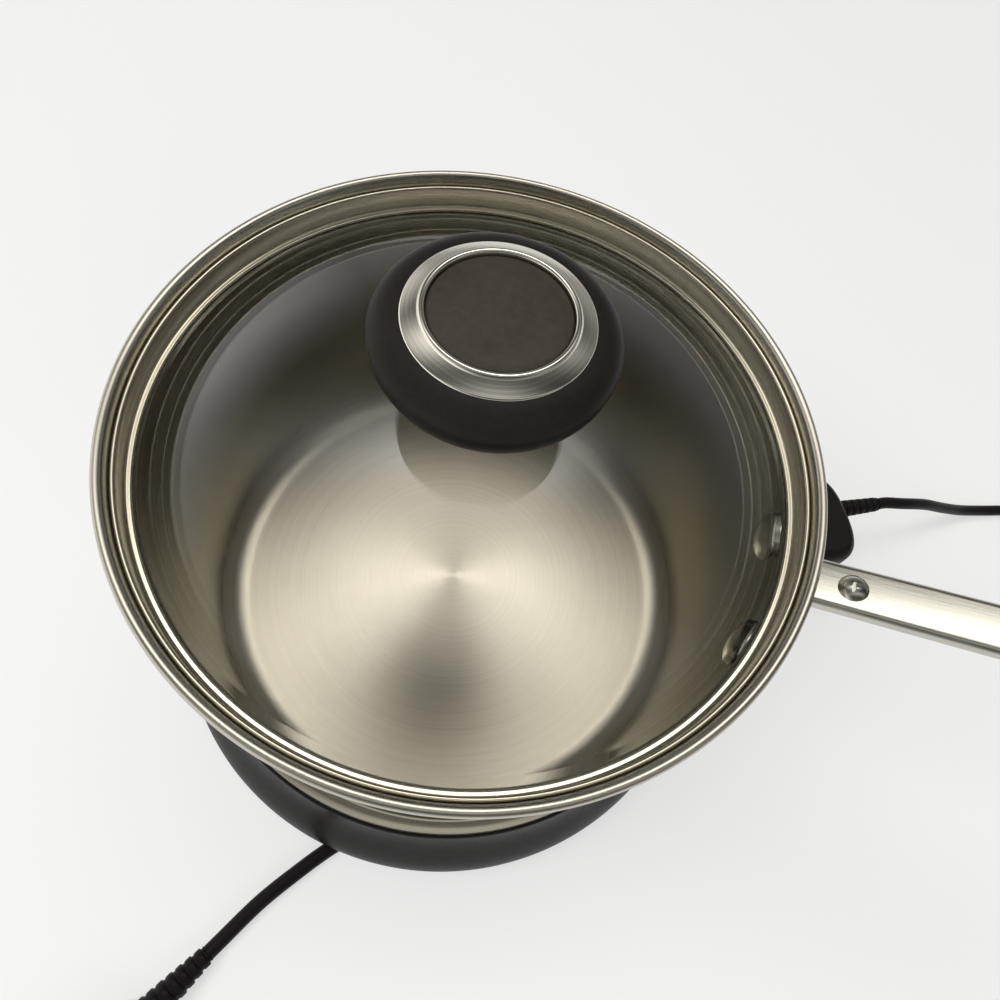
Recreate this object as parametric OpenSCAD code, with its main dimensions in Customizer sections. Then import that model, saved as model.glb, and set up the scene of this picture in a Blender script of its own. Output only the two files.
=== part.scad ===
// Electric hot pot: a steel pot fixed on a heated base, a nesting glass lid, a long handle
// and a plug-in heat control on its cord. Millimetres. The origin is on the pot's axis at the
// height of the table; +Z is up and +X runs out along the handle.

/* [Pot] */
// Inner radius of the pot's straight wall
pot_r = 90.5; // [80:0.5:105]
// Height of the rolled rim above the table
rim_z = 150; // [135:1:185]
// Thickness of the pot's steel
pot_t = 1.2; // [0.8:0.1:1.4]
// Height of the inner floor above the table
floor_z = 29; // [28:0.5:32]
// Inner radius between the floor and the wall
corner_r = 9; // [8:0.5:14]
// Depth of the lid's seat below the rim
seat_drop = 16.5; // [14:0.5:20]
// Width of the step that makes the lid's seat
seat_w = 2.6; // [2.4:0.1:4]
// Flare of the mouth from the seat to the bead
mouth_flare = 1.1; // [0.6:0.1:2]
// Radius of the rolled bead
bead_r = 1.4; // [1.2:0.1:2.2]

/* [Base] */
// Width of the bright deck between the pot and the skirt
deck_w = 8.8; // [7:0.2:14]
// Flare of the skirt from its top edge to its foot edge
skirt_flare = 11; // [8:0.5:16]
// Height of the skirt's top edge above the table
skirt_top_z = 46; // [42:1:60]
// Height of the skirt's foot edge above the table
foot_gap = 8.5; // [7.5:0.5:8.5]
// Wall of the skirt
skirt_t = 3; // [2:0.2:4]
// Thickness of the bottom plate
plate_t = 2.5; // [1.5:0.1:2.5]
// Distance of the feet from the axis
foot_ring_r = 84; // [76:1:90]
// Radius of a foot where it stands
foot_r = 8; // [6:0.5:10]

/* [Heater] */
// Radius of the aluminium disc under the pot
spreader_r = 75; // [70:1:78]
// Thickness of the aluminium disc
spreader_t = 4; // [3.6:0.2:4.4]
// Radius of the heating element's ring
element_ring_r = 56; // [50:1:60]
// Radius of the element's tube
element_r = 3.3; // [3:0.1:3.5]
// Distance of each terminal pin from the middle of the socket
pin_pitch = 11; // [10:0.2:11.4]
// Radius of a terminal pin
pin_r = 2.2; // [1.8:0.1:2.4]
// Radius of the probe rod
probe_r = 2.5; // [2:0.1:2.7]

/* [Handle] */
// Width of the handle's steel strap
strap_w = 14; // [12:0.5:18]
// Thickness of the strap's steel
strap_t = 1.5; // [1.2:0.1:2]
// Depth of the strap's turned-down edges
strap_edge = 3.4; // [2.8:0.2:5]
// Distance from the pot's axis to where the grip starts
grip_start = 146; // [140:1:156]
// Length of the grip
grip_len = 116; // [95:1:140]
// Width of the grip at its widest
grip_w = 27; // [25:0.5:34]
// Thickness of the grip
grip_h = 17; // [15:0.5:22]
// Radius of the hole for hanging
hang_r = 4; // [3:0.5:5]
// Distance of each rivet from the handle's middle, as an angle in degrees
rivet_angle = 11.2; // [9:0.2:13]
// Radius of a rivet's shank
rivet_r = 2.5; // [2:0.1:3]
// Radius of a rivet's head inside the pot
rivet_head_r = 7.2; // [6:0.1:8]

/* [Lid] */
// Gap between the lid's band and the pot
lid_gap = 0.3; // [0.2:0.05:0.6]
// Thickness of the band's steel
band_t = 0.8; // [0.5:0.1:1]
// Height of the band
band_h = 12.8; // [10:0.2:14]
// Width of the band's lip over the glass
lip_w = 1.9; // [1.6:0.1:3]
// Thickness of the glass
glass_t = 3.8; // [3:0.1:4.5]
// Rise of the dome from its edge to its top
dome_rise = 27; // [18:0.5:32]
// Radius of the knob
knob_r = 28.8; // [26:0.2:32]
// Height of the knob above the glass
knob_h = 28.6; // [26:0.2:34]
// Outer radius of the knob's bright ring
ring_r = 21.7; // [20:0.1:23]
// Radius of the knob's insert
insert_r = 16.2; // [14:0.1:17]

/* [Heat control] */
// Direction in which the control plugs in, in degrees from the handle
control_az = 34; // [31:1:36]
// Distance from the pot's axis to the control's far end
control_end = 184; // [178:1:192]
// Half the width of the control
control_half_w = 22.4; // [20:0.2:24]
// Height of the control's underside above the table
control_z = 10; // [9:0.5:11]
// Height of the control's body
control_h = 30; // [28:1:34]
// Wall of the control's shells
shell_t = 2.2; // [1.6:0.1:2.4]
// Radius of the dial
dial_r = 16; // [13:0.5:16]

/* [Cord] */
// Diameter of the cord
cord_d = 5.5; // [5:0.1:6]
// Length of the control's strain relief outside its housing
relief_len = 24; // [20:1:26]
// Length of the plug's strain relief
plug_relief_len = 24; // [20:1:30]
// Length of the plug's body
plug_len = 34; // [28:1:40]

/* [Hidden] */
$fn = 96;

// A little more than a wall, for cuts that run right through
over = 1;

// Pot
seat_z = rim_z - seat_drop;
seat_r = pot_r + seat_w;
mouth_r = seat_r + mouth_flare;
bead_z = rim_z - bead_r;
pot_out = pot_r + pot_t;
lip_bend = pot_t + 0.3;
seat_bend = 0.5;

// Base
spreader_z = floor_z - pot_t - spreader_t;
skirt_top_r = pot_out + deck_w;
skirt_foot_r = skirt_top_r + skirt_flare;
flange_t = 3;
plate_z = foot_gap + 0.5;
plate_top = plate_z + plate_t;
plate_gap = 0.4;
skirt_steps = 14;
foot_angles = [15, 135, 255];
boss_r = 5.5;
boss_top = spreader_z - 1.5;
foot_screw_r = 2;
stud_ring_r = 34;
stud_angles = [85, 205, 325];
stud_r = 2.5;
nut_h = 2.2;
nut_r = 4.6;

// Socket and pins, along the control's own direction
socket_in_w = 2 * pin_pitch + 9;
socket_in_h = 18;
shroud_t = 1.6;
socket_gap = 0.4;
block_in = pot_out - 0.9;
block_t = 4;
block_out = block_in + block_t;
pin_z = spreader_z - element_r;
socket_z = plate_top + 0.2 + shroud_t + socket_in_h / 2;
pin_tip = block_out + 11;
leg_end = block_in - 3;
shroud_out = skirt_foot_r + 1;
sleeve_in = element_ring_r - 6;
sleeve_wall = 1.2;
probe_gap = 0.3;
contact_gap = 0.3;
leg_bend = 9;
bend_u = sqrt(pow(element_ring_r + leg_bend, 2) - pow(pin_pitch + leg_bend, 2));
bend_a = atan2(pin_pitch + leg_bend, bend_u);

// Handle
bracket_t = 1.5;
ear_r = rivet_r + 3.1;
rivet_z = seat_z - lip_bend - rivet_head_r - 0.3;
strap_in = rim_out() - 0.5;
strap_drop = 6.6;
strap_rise = 0.33;
strap_curve = 400;
strap_bend_x = grip_start - 2;
screw_x = strap_in + 10.5;
handle_screw_r = 2;
tongue_t = 2;
tongue_len = 24;
strap_in_grip = 26;
strap_end = grip_start + strap_in_grip;
grip_screw_x = grip_start + 18;
hang_x = grip_start + grip_len - 12;

// Lid
band_out = seat_r - lid_gap;
band_slope = mouth_flare / (bead_z - seat_z);
glass_z = seat_z + band_t;
lip_z = glass_z + glass_t;
glass_r = band_out - band_t;
land_r = band_out - lip_w - 0.3;
dome_r = (land_r * land_r + dome_rise * dome_rise) / (2 * dome_rise);
dome_cz = lip_z + dome_rise - dome_r;
apex_z = lip_z + dome_rise;
seal_t = 1;
knob_z = apex_z + seal_t;
knob_top = knob_z + knob_h;
stem_r = 13;
knob_hole_r = 4.2;
knob_screw_r = 2.5;
washer_r = 9;
washer_t = 1;

// Heat control
control_in = shroud_out + 1.5;
control_top = control_z + control_h;
split_z = control_z + 13;
nose_in = block_out + 1.5;
nose_w = socket_in_w - 2 * socket_gap;
nose_h = socket_in_h - 2 * socket_gap;
nose_back = control_in + shell_t + 2.5;
sleeve_t = 0.7;
sleeve_back = nose_back + 5;
end_len = 14;
waist = 2.6;
dial_u = control_in + 25;
shaft_r = 3;
relief_v = 5.5;
relief_z = 28;
control_screw_r = 1.6;
control_boss_r = control_screw_r + 1.6;
boss_clear = control_boss_r + 1;
crown_h = 8;
probe_tip = sleeve_in + 8;

// The cord leaves the control's strain relief, drops to the table, turns back out of the
// way, runs under the base between the feet and ends at its plug. Points are chosen by hand.
cord_route = [
    [182, 128, 27], [196, 137, 22], [210, 146, 14], [224, 155, 7], [239, 164, 3.4],
    [255, 172, 2.8], [272, 177, 2.8], [290, 176, 2.8], [305, 167, 2.8], [313, 152, 2.8],
    [312, 135, 2.8], [302, 121, 2.8], [287, 111, 2.8], [270, 105, 2.8], [252, 101, 2.8],
    [232, 97, 2.8], [211, 93, 2.8], [190, 90, 2.8], [170, 85, 2.8], [152, 75, 2.8],
    [136, 61, 2.8], [121, 44, 2.8], [107, 26, 2.8], [93, 8, 2.8], [79, -11, 2.8],
    [65, -30, 2.8], [51, -49, 2.8], [37, -67, 2.8], [24, -84, 2.8], [11, -99, 2.8],
    [1, -112, 2.8], [-7, -125, 2.8], [-14, -138, 2.8], [-19, -149, 2.9]];
cord_sides = 10;
cord_steps = 2;

// Plug
plug_at = [-22, -158, 3.9];
plug_heading = 249;
plug_pitch = 8;
plug_relief_r = 3.5;
plug_half_w = 11;
plug_half_h = 7.6;
blade_pitch = 12.7;
blade_len = 17;
blade_w = 6.3;
blade_t = 1.5;

function rim_out() = mouth_r + 2 * bead_r;

// Points along an arc, from angle a0 to angle a1
function arc(cx, cy, r, a0, a1, n) =
    [for (i = [0:n]) let (a = a0 + (a1 - a0) * i / n) [cx + r * cos(a), cy + r * sin(a)]];

// Points along an oval, from angle a0 to angle a1
function oval(cx, cy, rx, ry, a0, a1, n) =
    [for (i = [0:n]) let (a = a0 + (a1 - a0) * i / n) [cx + rx * cos(a), cy + ry * sin(a)]];

function backwards(v) = [for (i = [len(v) - 1:-1:0]) v[i]];

// One surface of the pot's sheet up to the mouth, d into the metal from the inside
function pot_line(d) = concat(
    [[0, floor_z - d]],
    arc(pot_r - corner_r, floor_z + corner_r, corner_r + d, -90, 0, 8),
    arc(pot_r + lip_bend, seat_z - lip_bend, lip_bend - d, 180, 90, 4),
    arc(seat_r - seat_bend, seat_z + seat_bend, seat_bend + d, -90, -4, 4));

// Outline of the rolled bead, from the wall's inner face over the top to its outer face
function bead_line() = arc(mouth_r + bead_r, bead_z, bead_r, 180,
    -acos((pot_t - bead_r) / bead_r), 18);

// Outer radius of the skirt at height z, a bell shape
function skirt_s(z) = min(1, max(0, (skirt_top_z - z) / (skirt_top_z - foot_gap)));
function skirt_r(z) = skirt_top_r + skirt_flare * pow(skirt_s(z), 2) * (3 - 2 * skirt_s(z));

// Height of the strap's upper face at a distance x from the pot's axis, and its slope
function strap_z(x) = rim_z - strap_drop + strap_rise * (x - strap_in)
    - pow(max(0, x - strap_bend_x), 2) / strap_curve;
function strap_slope(x) = atan(strap_rise - 2 * max(0, x - strap_bend_x) / strap_curve);

// Solid through a row of rings, each a list with as many points as the first
module skin(rings) {
    n = len(rings[0]);
    m = len(rings);
    sides = [for (k = [0:m - 2], i = [0:n - 1]) let (j = (i + 1) % n, a = k * n, b = a + n)
        each [[a + i, b + j, a + j], [a + i, b + i, b + j]]];
    first = [for (i = [0:n - 1]) i];
    last = [for (i = [n - 1:-1:0]) (m - 1) * n + i];
    polyhedron([for (ring = rings) each ring], concat(sides, [first, last]), convexity = 8);
}

// Turns to the direction in which the heat control plugs in
module along_control() {
    rotate([0, 0, control_az]) children();
}

// A cylinder that lies along +X from u0 to u1
module bar(r, u0, u1, v = 0, z = 0) {
    translate([u0, v, z]) rotate([0, 90, 0]) cylinder(r = r, h = u1 - u0);
}

// A hexagonal prism, r to its corners
module hexagon(r, h) {
    cylinder(r = r, h = h, $fn = 6);
}

// Two crossed slots for a screwdriver, cut downwards from z = 0
module cross_recess(r, depth) {
    for (a = [0, 90]) rotate([0, 0, a])
        translate([-r, -0.5, -depth]) cube([2 * r, 1, depth + over]);
}

// ---------------------------------------------------------------- pot and handle

// Drawn steel pot with a step for the lid and a rolled rim
module pot() {
    color("silver") difference() {
        rotate_extrude()
            polygon(concat(pot_line(0), bead_line(), backwards(pot_line(pot_t))));
        at_rivets() cylinder(r = rivet_r, h = 4 * pot_t, center = true);
    }
}

// Puts children on each rivet's axis, with their +Z pointing out through the wall
module at_rivets() {
    for (side = [-1, 1]) rotate([0, 0, side * rivet_angle])
        translate([pot_out, 0, rivet_z]) rotate([0, 90, 0]) children();
}

// Side outline of the bracket's tongue, from the wall up and under the strap
function tongue_line(d) = concat(
    [[pot_out + bracket_t - 0.6, rivet_z - 5 - d], [pot_out + bracket_t + 2.2, rivet_z - 1 - d],
     [strap_in + 1.2 + d * 0.6, strap_z(strap_in) - strap_t - 4 - d]],
    [for (i = [1:4]) let (x = strap_in + tongue_len * i / 4)
        [x + d * 0.3, strap_z(x) - strap_t - d]]);

// Curved flange riveted to the pot, with a tongue that carries the strap
module handle_bracket() {
    ear_y = pot_out * sin(rivet_angle);
    color("gainsboro") difference() {
        union() {
            intersection() {
                translate([0, 0, rivet_z - 10]) difference() {
                    cylinder(r = pot_out + bracket_t, h = 20);
                    translate([0, 0, -over]) cylinder(r = pot_out, h = 20 + 2 * over);
                }
                hull() for (side = [-1, 1])
                    translate([pot_out - 10, side * ear_y, rivet_z])
                        rotate([0, 90, 0]) cylinder(r = ear_r, h = 20, $fn = 32);
            }
            translate([0, strap_w / 2 - strap_t - 0.4, 0]) rotate([90, 0, 0])
                linear_extrude(strap_w - 2 * strap_t - 0.8)
                    polygon(concat(tongue_line(0), backwards(tongue_line(tongue_t))));
        }
        translate([0, 0, rivet_z - 20]) cylinder(r = pot_out, h = 40);
        at_rivets() cylinder(r = rivet_r, h = 4 * bracket_t, center = true);
        at_handle_screw() cylinder(r = handle_screw_r, h = 30, center = true);
    }
}

// Two rivets: domed heads inside the pot, flat heads on the bracket
module handle_rivets() {
    head_r = rivet_head_r;
    head_h = 3;
    dome = (head_r * head_r + head_h * head_h) / (2 * head_h);
    color("silver") {
        difference() {
            at_rivets() {
                intersection() {
                    translate([0, 0, dome - pot_t - head_h]) sphere(r = dome);
                    translate([0, 0, -pot_t - head_h]) cylinder(r = head_r, h = head_h + pot_t);
                }
                cylinder(r = rivet_r + 2, h = bracket_t + 1.2);
            }
            translate([0, 0, rivet_z - 20]) difference() {
                cylinder(r = pot_out + bracket_t, h = 40);
                translate([0, 0, -over]) cylinder(r = pot_r, h = 40 + 2 * over);
            }
        }
        at_rivets() translate([0, 0, -pot_t - head_h / 2])
            cylinder(r = rivet_r, h = head_h / 2 + pot_t + bracket_t + 1);
    }
}

// Puts children on the handle screw's axis, with z = 0 on the strap's upper face
module at_handle_screw() {
    translate([screw_x, 0, strap_z(screw_x)]) rotate([0, -strap_slope(screw_x), 0]) children();
}

// Side outline of the strap between depths a and b below its upper face
function strap_line(d, x1) = [for (i = [0:12]) let (x = strap_in + (x1 - strap_in) * i / 12)
    [x, strap_z(x) - d]];

// Pressed channel: a curved top with two turned-down edges
module handle_strap() {
    color("gainsboro") difference() {
        union() {
            translate([0, strap_w / 2, 0]) rotate([90, 0, 0]) linear_extrude(strap_w)
                polygon(concat(strap_line(0, strap_end), backwards(strap_line(strap_t, strap_end))));
            for (y = [-strap_w / 2 + strap_t, strap_w / 2])
                translate([0, y, 0]) rotate([90, 0, 0]) linear_extrude(strap_t)
                    polygon(concat(strap_line(0, strap_end),
                        backwards(strap_line(strap_edge, strap_end))));
        }
        at_handle_screw() cylinder(r = handle_screw_r, h = 12, center = true);
        translate([grip_screw_x, 0, strap_z(grip_screw_x)])
            cylinder(r = handle_screw_r, h = 12, center = true);
    }
}

// Screw through the strap and the bracket's tongue
module handle_screw() {
    head_r = 3.8;
    head_h = 2;
    dome = (head_r * head_r + head_h * head_h) / (2 * head_h);
    color("white") at_handle_screw() {
        difference() {
            intersection() {
                translate([0, 0, head_h - dome]) sphere(r = dome);
                cylinder(r = head_r, h = head_h);
            }
            translate([0, 0, head_h]) cross_recess(1.9, 1.3);
        }
        translate([0, 0, -strap_t - tongue_t - 4]) cylinder(r = handle_screw_r,
            h = strap_t + tongue_t + 4.5);
    }
}

// Nut on the handle screw, below the tongue
module handle_nut() {
    color("silver") at_handle_screw() translate([0, 0, -strap_t - tongue_t - 3.1])
        difference() {
            hexagon(nut_r - 0.6, 3);
            translate([0, 0, -over]) cylinder(r = handle_screw_r, h = 3 + 2 * over);
        }
}

// Shape of the grip along its length: t runs from 0 at the pot to 1 at the end
function grip_half_w(t) = grip_w / 2 * (0.84 + 0.16 * sin(180 * min(1, t * 0.8 + 0.1)))
    * (t > 0.9 ? sqrt(max(0, 1 - pow((t - 0.9) / 0.11, 2))) * 0.35 + 0.65 : 1)
    * (t < 0.03 ? 0.9 : 1);
function grip_half_h(t) = grip_h / 2 * (t < 0.03 ? 0.88 : 1) * (1 - 0.22 * t * t)
    * (t > 0.94 ? 0.82 : 1);
function grip_z(t) = strap_z(grip_start) - 2.4 + grip_len * (0.28 * t - 0.14 * t * t);
function grip_ring(t) = [for (i = [0:27]) let (a = 360 * i / 28, k = 0.72)
    [grip_start + grip_len * t,
     grip_half_w(t) * sign(cos(a)) * pow(abs(cos(a)), k),
     grip_z(t) + grip_half_h(t) * sign(sin(a)) * pow(abs(sin(a)), k)]];

// Moulded grip with a slot for the strap and a hole to hang it by
module handle_grip() {
    stations = [0, 0.008, 0.03, 0.1, 0.2, 0.35, 0.5, 0.65, 0.8, 0.9, 0.94, 0.97, 0.99, 1];
    color("#1c1b1a") difference() {
        skin([for (t = stations) grip_ring(t)]);
        translate([0, strap_w / 2, 0]) rotate([90, 0, 0]) linear_extrude(strap_w)
            polygon(concat(strap_line(0, strap_end), backwards(strap_line(strap_edge, strap_end))));
        translate([hang_x, 0, 0]) cylinder(r = hang_r, h = 2 * rim_z);
        translate([grip_screw_x, 0, strap_z(grip_screw_x) - grip_h * 2])
            cylinder(r = handle_screw_r, h = grip_h * 2);
        translate([grip_screw_x, 0, grip_screw_z() - 12]) cylinder(r = 3.6, h = 12);
    }
}

// Height of the seat for the grip screw's head
function grip_screw_z() = strap_z(grip_screw_x) - grip_h * 0.62;

// Screw from below that holds the grip on the strap
module grip_screw() {
    color("silver") translate([grip_screw_x, 0, grip_screw_z()]) {
        difference() {
            translate([0, 0, -2]) cylinder(r = 3.5, h = 2);
            translate([0, 0, -2]) mirror([0, 0, 1]) cross_recess(1.8, 1);
        }
        translate([0, 0, -0.1]) cylinder(r = handle_screw_r,
            h = strap_z(grip_screw_x) - grip_screw_z() - 0.3);
    }
}

// ---------------------------------------------------------------- heater

// Middle line of the element: a ring open towards the socket and two legs to the pins
element_half = concat(
    [for (i = [0:20]) let (a = 180 - (180 - bend_a) * i / 20)
        [element_ring_r * cos(a), element_ring_r * sin(a)]],
    [for (i = [1:5]) let (a = 180 + bend_a + (90 - bend_a) * i / 5)
        [bend_u + leg_bend * cos(a), pin_pitch + leg_bend + leg_bend * sin(a)]],
    [[leg_end, pin_pitch]]);
element_line = concat(backwards([for (p = element_half) [p[0], -p[1]]]),
    [for (i = [1:len(element_half) - 1]) element_half[i]]);

// Rings of a tube of radius r along a level line of points
function level_tube(line, r, sides) = let (n = len(line) - 1) [for (i = [0:n])
    let (d = unit(line[min(n, i + 1)] - line[max(0, i - 1)]), side = [-d[1], d[0]])
        [for (k = [0:sides - 1]) let (a = 360 * k / sides)
            [line[i][0] + r * cos(a) * side[0], line[i][1] + r * cos(a) * side[1], r * sin(a)]]];

// Aluminium disc brazed under the pot, with a channel for the probe's sleeve
module heat_spreader() {
    color("lightgray") difference() {
        translate([0, 0, spreader_z]) cylinder(r = spreader_r, h = spreader_t);
        along_control()
            bar(probe_r + probe_gap + sleeve_wall, sleeve_in, spreader_r + over, 0, pin_z);
        for (a = stud_angles) rotate([0, 0, a]) translate([stud_ring_r, 0, spreader_z - over])
            cylinder(r = stud_r, h = 3 + over);
    }
}

// Sheathed heating element
module heating_element() {
    color("dimgray") along_control() translate([0, 0, pin_z])
        skin(level_tube(element_line, element_r, 12));
}

// Two pins that the control plugs onto
module terminal_pins() {
    color("silver") along_control() for (side = [-1, 1]) {
        bar(pin_r, leg_end, pin_tip - pin_r, side * pin_pitch, pin_z);
        translate([pin_tip - pin_r, side * pin_pitch, pin_z]) sphere(r = pin_r);
        bar(pin_r + 1.2, block_in - 1.2, block_in, side * pin_pitch, pin_z);
    }
}

// Tube under the pot that takes the control's probe rod
module probe_sleeve() {
    r = probe_r + probe_gap;
    color("silver") along_control() difference() {
        bar(r + sleeve_wall, sleeve_in, block_out, 0, pin_z);
        bar(r, sleeve_in + 2, block_out + over, 0, pin_z);
    }
}

// Rounded rectangle, w wide and h high, in the plane across the control's direction
module rounded_bar(w, h, r, u0, u1) {
    translate([u0, 0, socket_z]) rotate([90, 0, 90]) linear_extrude(u1 - u0)
        polygon(concat(
            arc(w / 2 - r, h / 2 - r, r, 0, 90, 5), arc(r - w / 2, h / 2 - r, r, 90, 180, 5),
            arc(r - w / 2, r - h / 2, r, 180, 270, 5), arc(w / 2 - r, r - h / 2, r, 270, 360, 5)));
}

// Heat-proof block that holds the pins and the mouth of the sleeve
module terminal_block() {
    color("#4a3b30") along_control() difference() {
        rounded_bar(socket_in_w, socket_in_h, 2.5, block_in, block_out);
        for (side = [-1, 1]) bar(pin_r, block_in - over, block_out + over, side * pin_pitch, pin_z);
        bar(probe_r + probe_gap + sleeve_wall, block_in - over, block_out + over, 0, pin_z);
    }
}

// Thin dish that keeps the heat off the bottom plate
module heat_shield() {
    shield_z = plate_top + 1.2;
    shield_r = spreader_r - 4;
    color("darkgray") difference() {
        rotate_extrude() polygon([[0, shield_z], [shield_r - 5, shield_z], [shield_r, shield_z + 2],
            [shield_r + 3, shield_z + 2], [shield_r + 3, shield_z + 2.6], [shield_r - 0.2,
            shield_z + 2.6], [shield_r - 5.2, shield_z + 0.6], [0, shield_z + 0.6]]);
        for (a = stud_angles) rotate([0, 0, a]) translate([stud_ring_r, 0, 0])
            cylinder(r = stud_r, h = spreader_z);
    }
}

// Three threaded studs under the disc
module base_studs() {
    color("silver") for (a = stud_angles) rotate([0, 0, a])
        translate([stud_ring_r, 0, plate_z - nut_h])
            cylinder(r = stud_r, h = spreader_z + 3 - plate_z + nut_h);
}

// Nuts that draw the bottom plate and the skirt up to the pot
module base_nuts() {
    color("silver") for (a = stud_angles) rotate([0, 0, a])
        translate([stud_ring_r, 0, plate_z - nut_h]) difference() {
            hexagon(nut_r, nut_h);
            translate([0, 0, -over]) cylinder(r = stud_r, h = nut_h + 2 * over);
        }
}

// ---------------------------------------------------------------- base

// Outer surface of the skirt, d inside it
function skirt_line(d, z0, z1) = [for (i = [0:skirt_steps])
    let (z = z0 + (z1 - z0) * i / skirt_steps) [skirt_r(z) - d, z]];

// Moulded skirt that carries the pot, with bosses for the feet and a cut for the socket
module base_skirt() {
    edge_r = 2;
    color("#161514") difference() {
        union() {
            rotate_extrude() polygon(concat(
                [[pot_out + 0.4, skirt_top_z - flange_t], [pot_out + 0.4, skirt_top_z]],
                arc(skirt_top_r - edge_r, skirt_top_z - edge_r, edge_r, 90, 0, 4),
                skirt_line(0, skirt_top_z - edge_r - 1, foot_gap + 1),
                [[skirt_foot_r - 1, foot_gap], [skirt_foot_r - skirt_t, foot_gap]],
                skirt_line(skirt_t, foot_gap + 1, skirt_top_z - flange_t)));
            for (a = foot_angles) rotate([0, 0, a]) foot_boss();
        }
        for (a = foot_angles) rotate([0, 0, a]) translate([foot_ring_r, 0, plate_top - over])
            cylinder(r = foot_screw_r, h = boss_top - plate_top - 1);
        along_control() rounded_bar(socket_in_w + 2 * shroud_t, socket_in_h + 2 * shroud_t, 3,
            pot_out, shroud_out + over);
    }
}

// Boss for one foot's screw, tied to the skirt's wall by a rib
module foot_boss() {
    translate([foot_ring_r, 0, plate_top]) cylinder(r = boss_r, h = boss_top - plate_top);
    translate([foot_ring_r, -1.2, plate_top])
        cube([skirt_r(plate_top) - skirt_t - foot_ring_r - 0.2 + over / 2, 2.4,
            boss_top - plate_top - 2]);
}

// Bezel round the socket, flush with the block inside and proud of the skirt
module socket_shroud() {
    color("#161514") along_control() difference() {
        union() {
            rounded_bar(socket_in_w + 2 * shroud_t, socket_in_h + 2 * shroud_t, 3,
                block_in + 0.4, shroud_out);
        }
        rounded_bar(socket_in_w, socket_in_h, 2.5, block_in - over, shroud_out + over);
    }
}

// Bright ring welded to the pot, which closes the gap down to the skirt
module deck_ring() {
    t = 0.8;
    cove = 3.2;
    color("gainsboro") rotate_extrude() polygon(concat(
        [[pot_out, skirt_top_z + cove + 2.4]],
        arc(pot_out + t + cove, skirt_top_z + t + cove, cove, 180, 270, 5),
        [[skirt_top_r - 1.6, skirt_top_z + t], [skirt_top_r - 1.2, skirt_top_z],
         [pot_out, skirt_top_z]]));
}

// Bottom plate with vents, screwed up under the skirt
module bottom_plate() {
    color("#1d1c1b") difference() {
        translate([0, 0, plate_z]) cylinder(r = skirt_foot_r - skirt_t - plate_gap, h = plate_t);
        for (a = foot_angles) rotate([0, 0, a]) translate([foot_ring_r, 0, 0])
            cylinder(r = foot_screw_r, h = plate_top + over);
        for (a = stud_angles) rotate([0, 0, a]) translate([stud_ring_r, 0, 0])
            cylinder(r = stud_r, h = plate_top + over);
        for (a = [0:30:330]) rotate([0, 0, a + 15]) translate([52, -1.5, 0])
            cube([16, 3, plate_top + over]);
    }
}

// Three rubber feet
module base_feet() {
    color("#2b2a29") for (a = foot_angles) rotate([0, 0, a]) translate([foot_ring_r, 0, 0])
        difference() {
            rotate_extrude() polygon([[0, 0], [foot_r - 0.8, 0], [foot_r, 0.8],
                [foot_r + 1, plate_z], [0, plate_z]]);
            translate([0, 0, -over]) cylinder(r = foot_screw_r + 2.2, h = 3.4 + over);
            translate([0, 0, -over]) cylinder(r = foot_screw_r, h = plate_z + 2 * over);
        }
}

// Screws that hold the feet and the plate to the skirt's bosses
module foot_screws() {
    color("silver") for (a = foot_angles) rotate([0, 0, a]) translate([foot_ring_r, 0, 0]) {
        difference() {
            translate([0, 0, 1.4]) cylinder(r = foot_screw_r + 2, h = 2);
            translate([0, 0, 1.4]) mirror([0, 0, 1]) cross_recess(1.7, 1);
        }
        translate([0, 0, 3]) cylinder(r = foot_screw_r, h = boss_top - 4.6 - 1.4);
    }
}

// ---------------------------------------------------------------- lid

// Domed glass with a flat land at its edge and a hole for the knob's screw
module lid_glass() {
    color([0.8, 0.88, 0.85, 0.4]) difference() {
        union() {
            intersection() {
                translate([0, 0, dome_cz]) sphere(r = dome_r, $fn = 180);
                translate([0, 0, lip_z - 0.2]) cylinder(r = land_r + 2, h = dome_rise + 2);
            }
            translate([0, 0, glass_z]) cylinder(r = glass_r, h = glass_t);
        }
        translate([0, 0, dome_cz]) sphere(r = dome_r - glass_t, $fn = 180);
        translate([0, 0, apex_z - 3 * glass_t]) cylinder(r = knob_hole_r, h = 6 * glass_t);
    }
}

// Rolled steel band that holds the glass and lines the pot's mouth
module lid_band() {
    top_z = seat_z + band_h;
    top_r = band_out + band_slope * band_h;
    roll = 0.65;
    color("silver") rotate_extrude() {
        polygon([[land_r - 0.8, seat_z], [band_out - 0.5, seat_z], [band_out, seat_z + 0.5],
            [top_r, top_z - roll], [top_r - band_t, top_z - roll],
            [band_out + band_slope * (glass_t + 3) - band_t, lip_z + band_t + 0.6],
            [band_out - lip_w + 0.3, lip_z + band_t], [band_out - lip_w, lip_z + band_t - 0.3],
            [band_out - lip_w, lip_z], [glass_r, lip_z], [glass_r, glass_z],
            [land_r - 0.8, glass_z]]);
        translate([top_r - roll, top_z - roll]) circle(r = roll);
    }
}

// Silicone washers above and below the glass, joined through its hole
module lid_seals() {
    color("#55524e") difference() {
        union() {
            translate([0, 0, apex_z - 1]) cylinder(r = stem_r - 0.6, h = 1 + seal_t);
            translate([0, 0, apex_z - glass_t - seal_t]) cylinder(r = washer_r + 1, h = seal_t + 1);
            translate([0, 0, apex_z - glass_t - seal_t])
                cylinder(r = knob_hole_r, h = glass_t + 2 * seal_t);
        }
        glass_zone();
        translate([0, 0, apex_z - 20]) cylinder(r = knob_screw_r, h = 40);
    }
}

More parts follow.
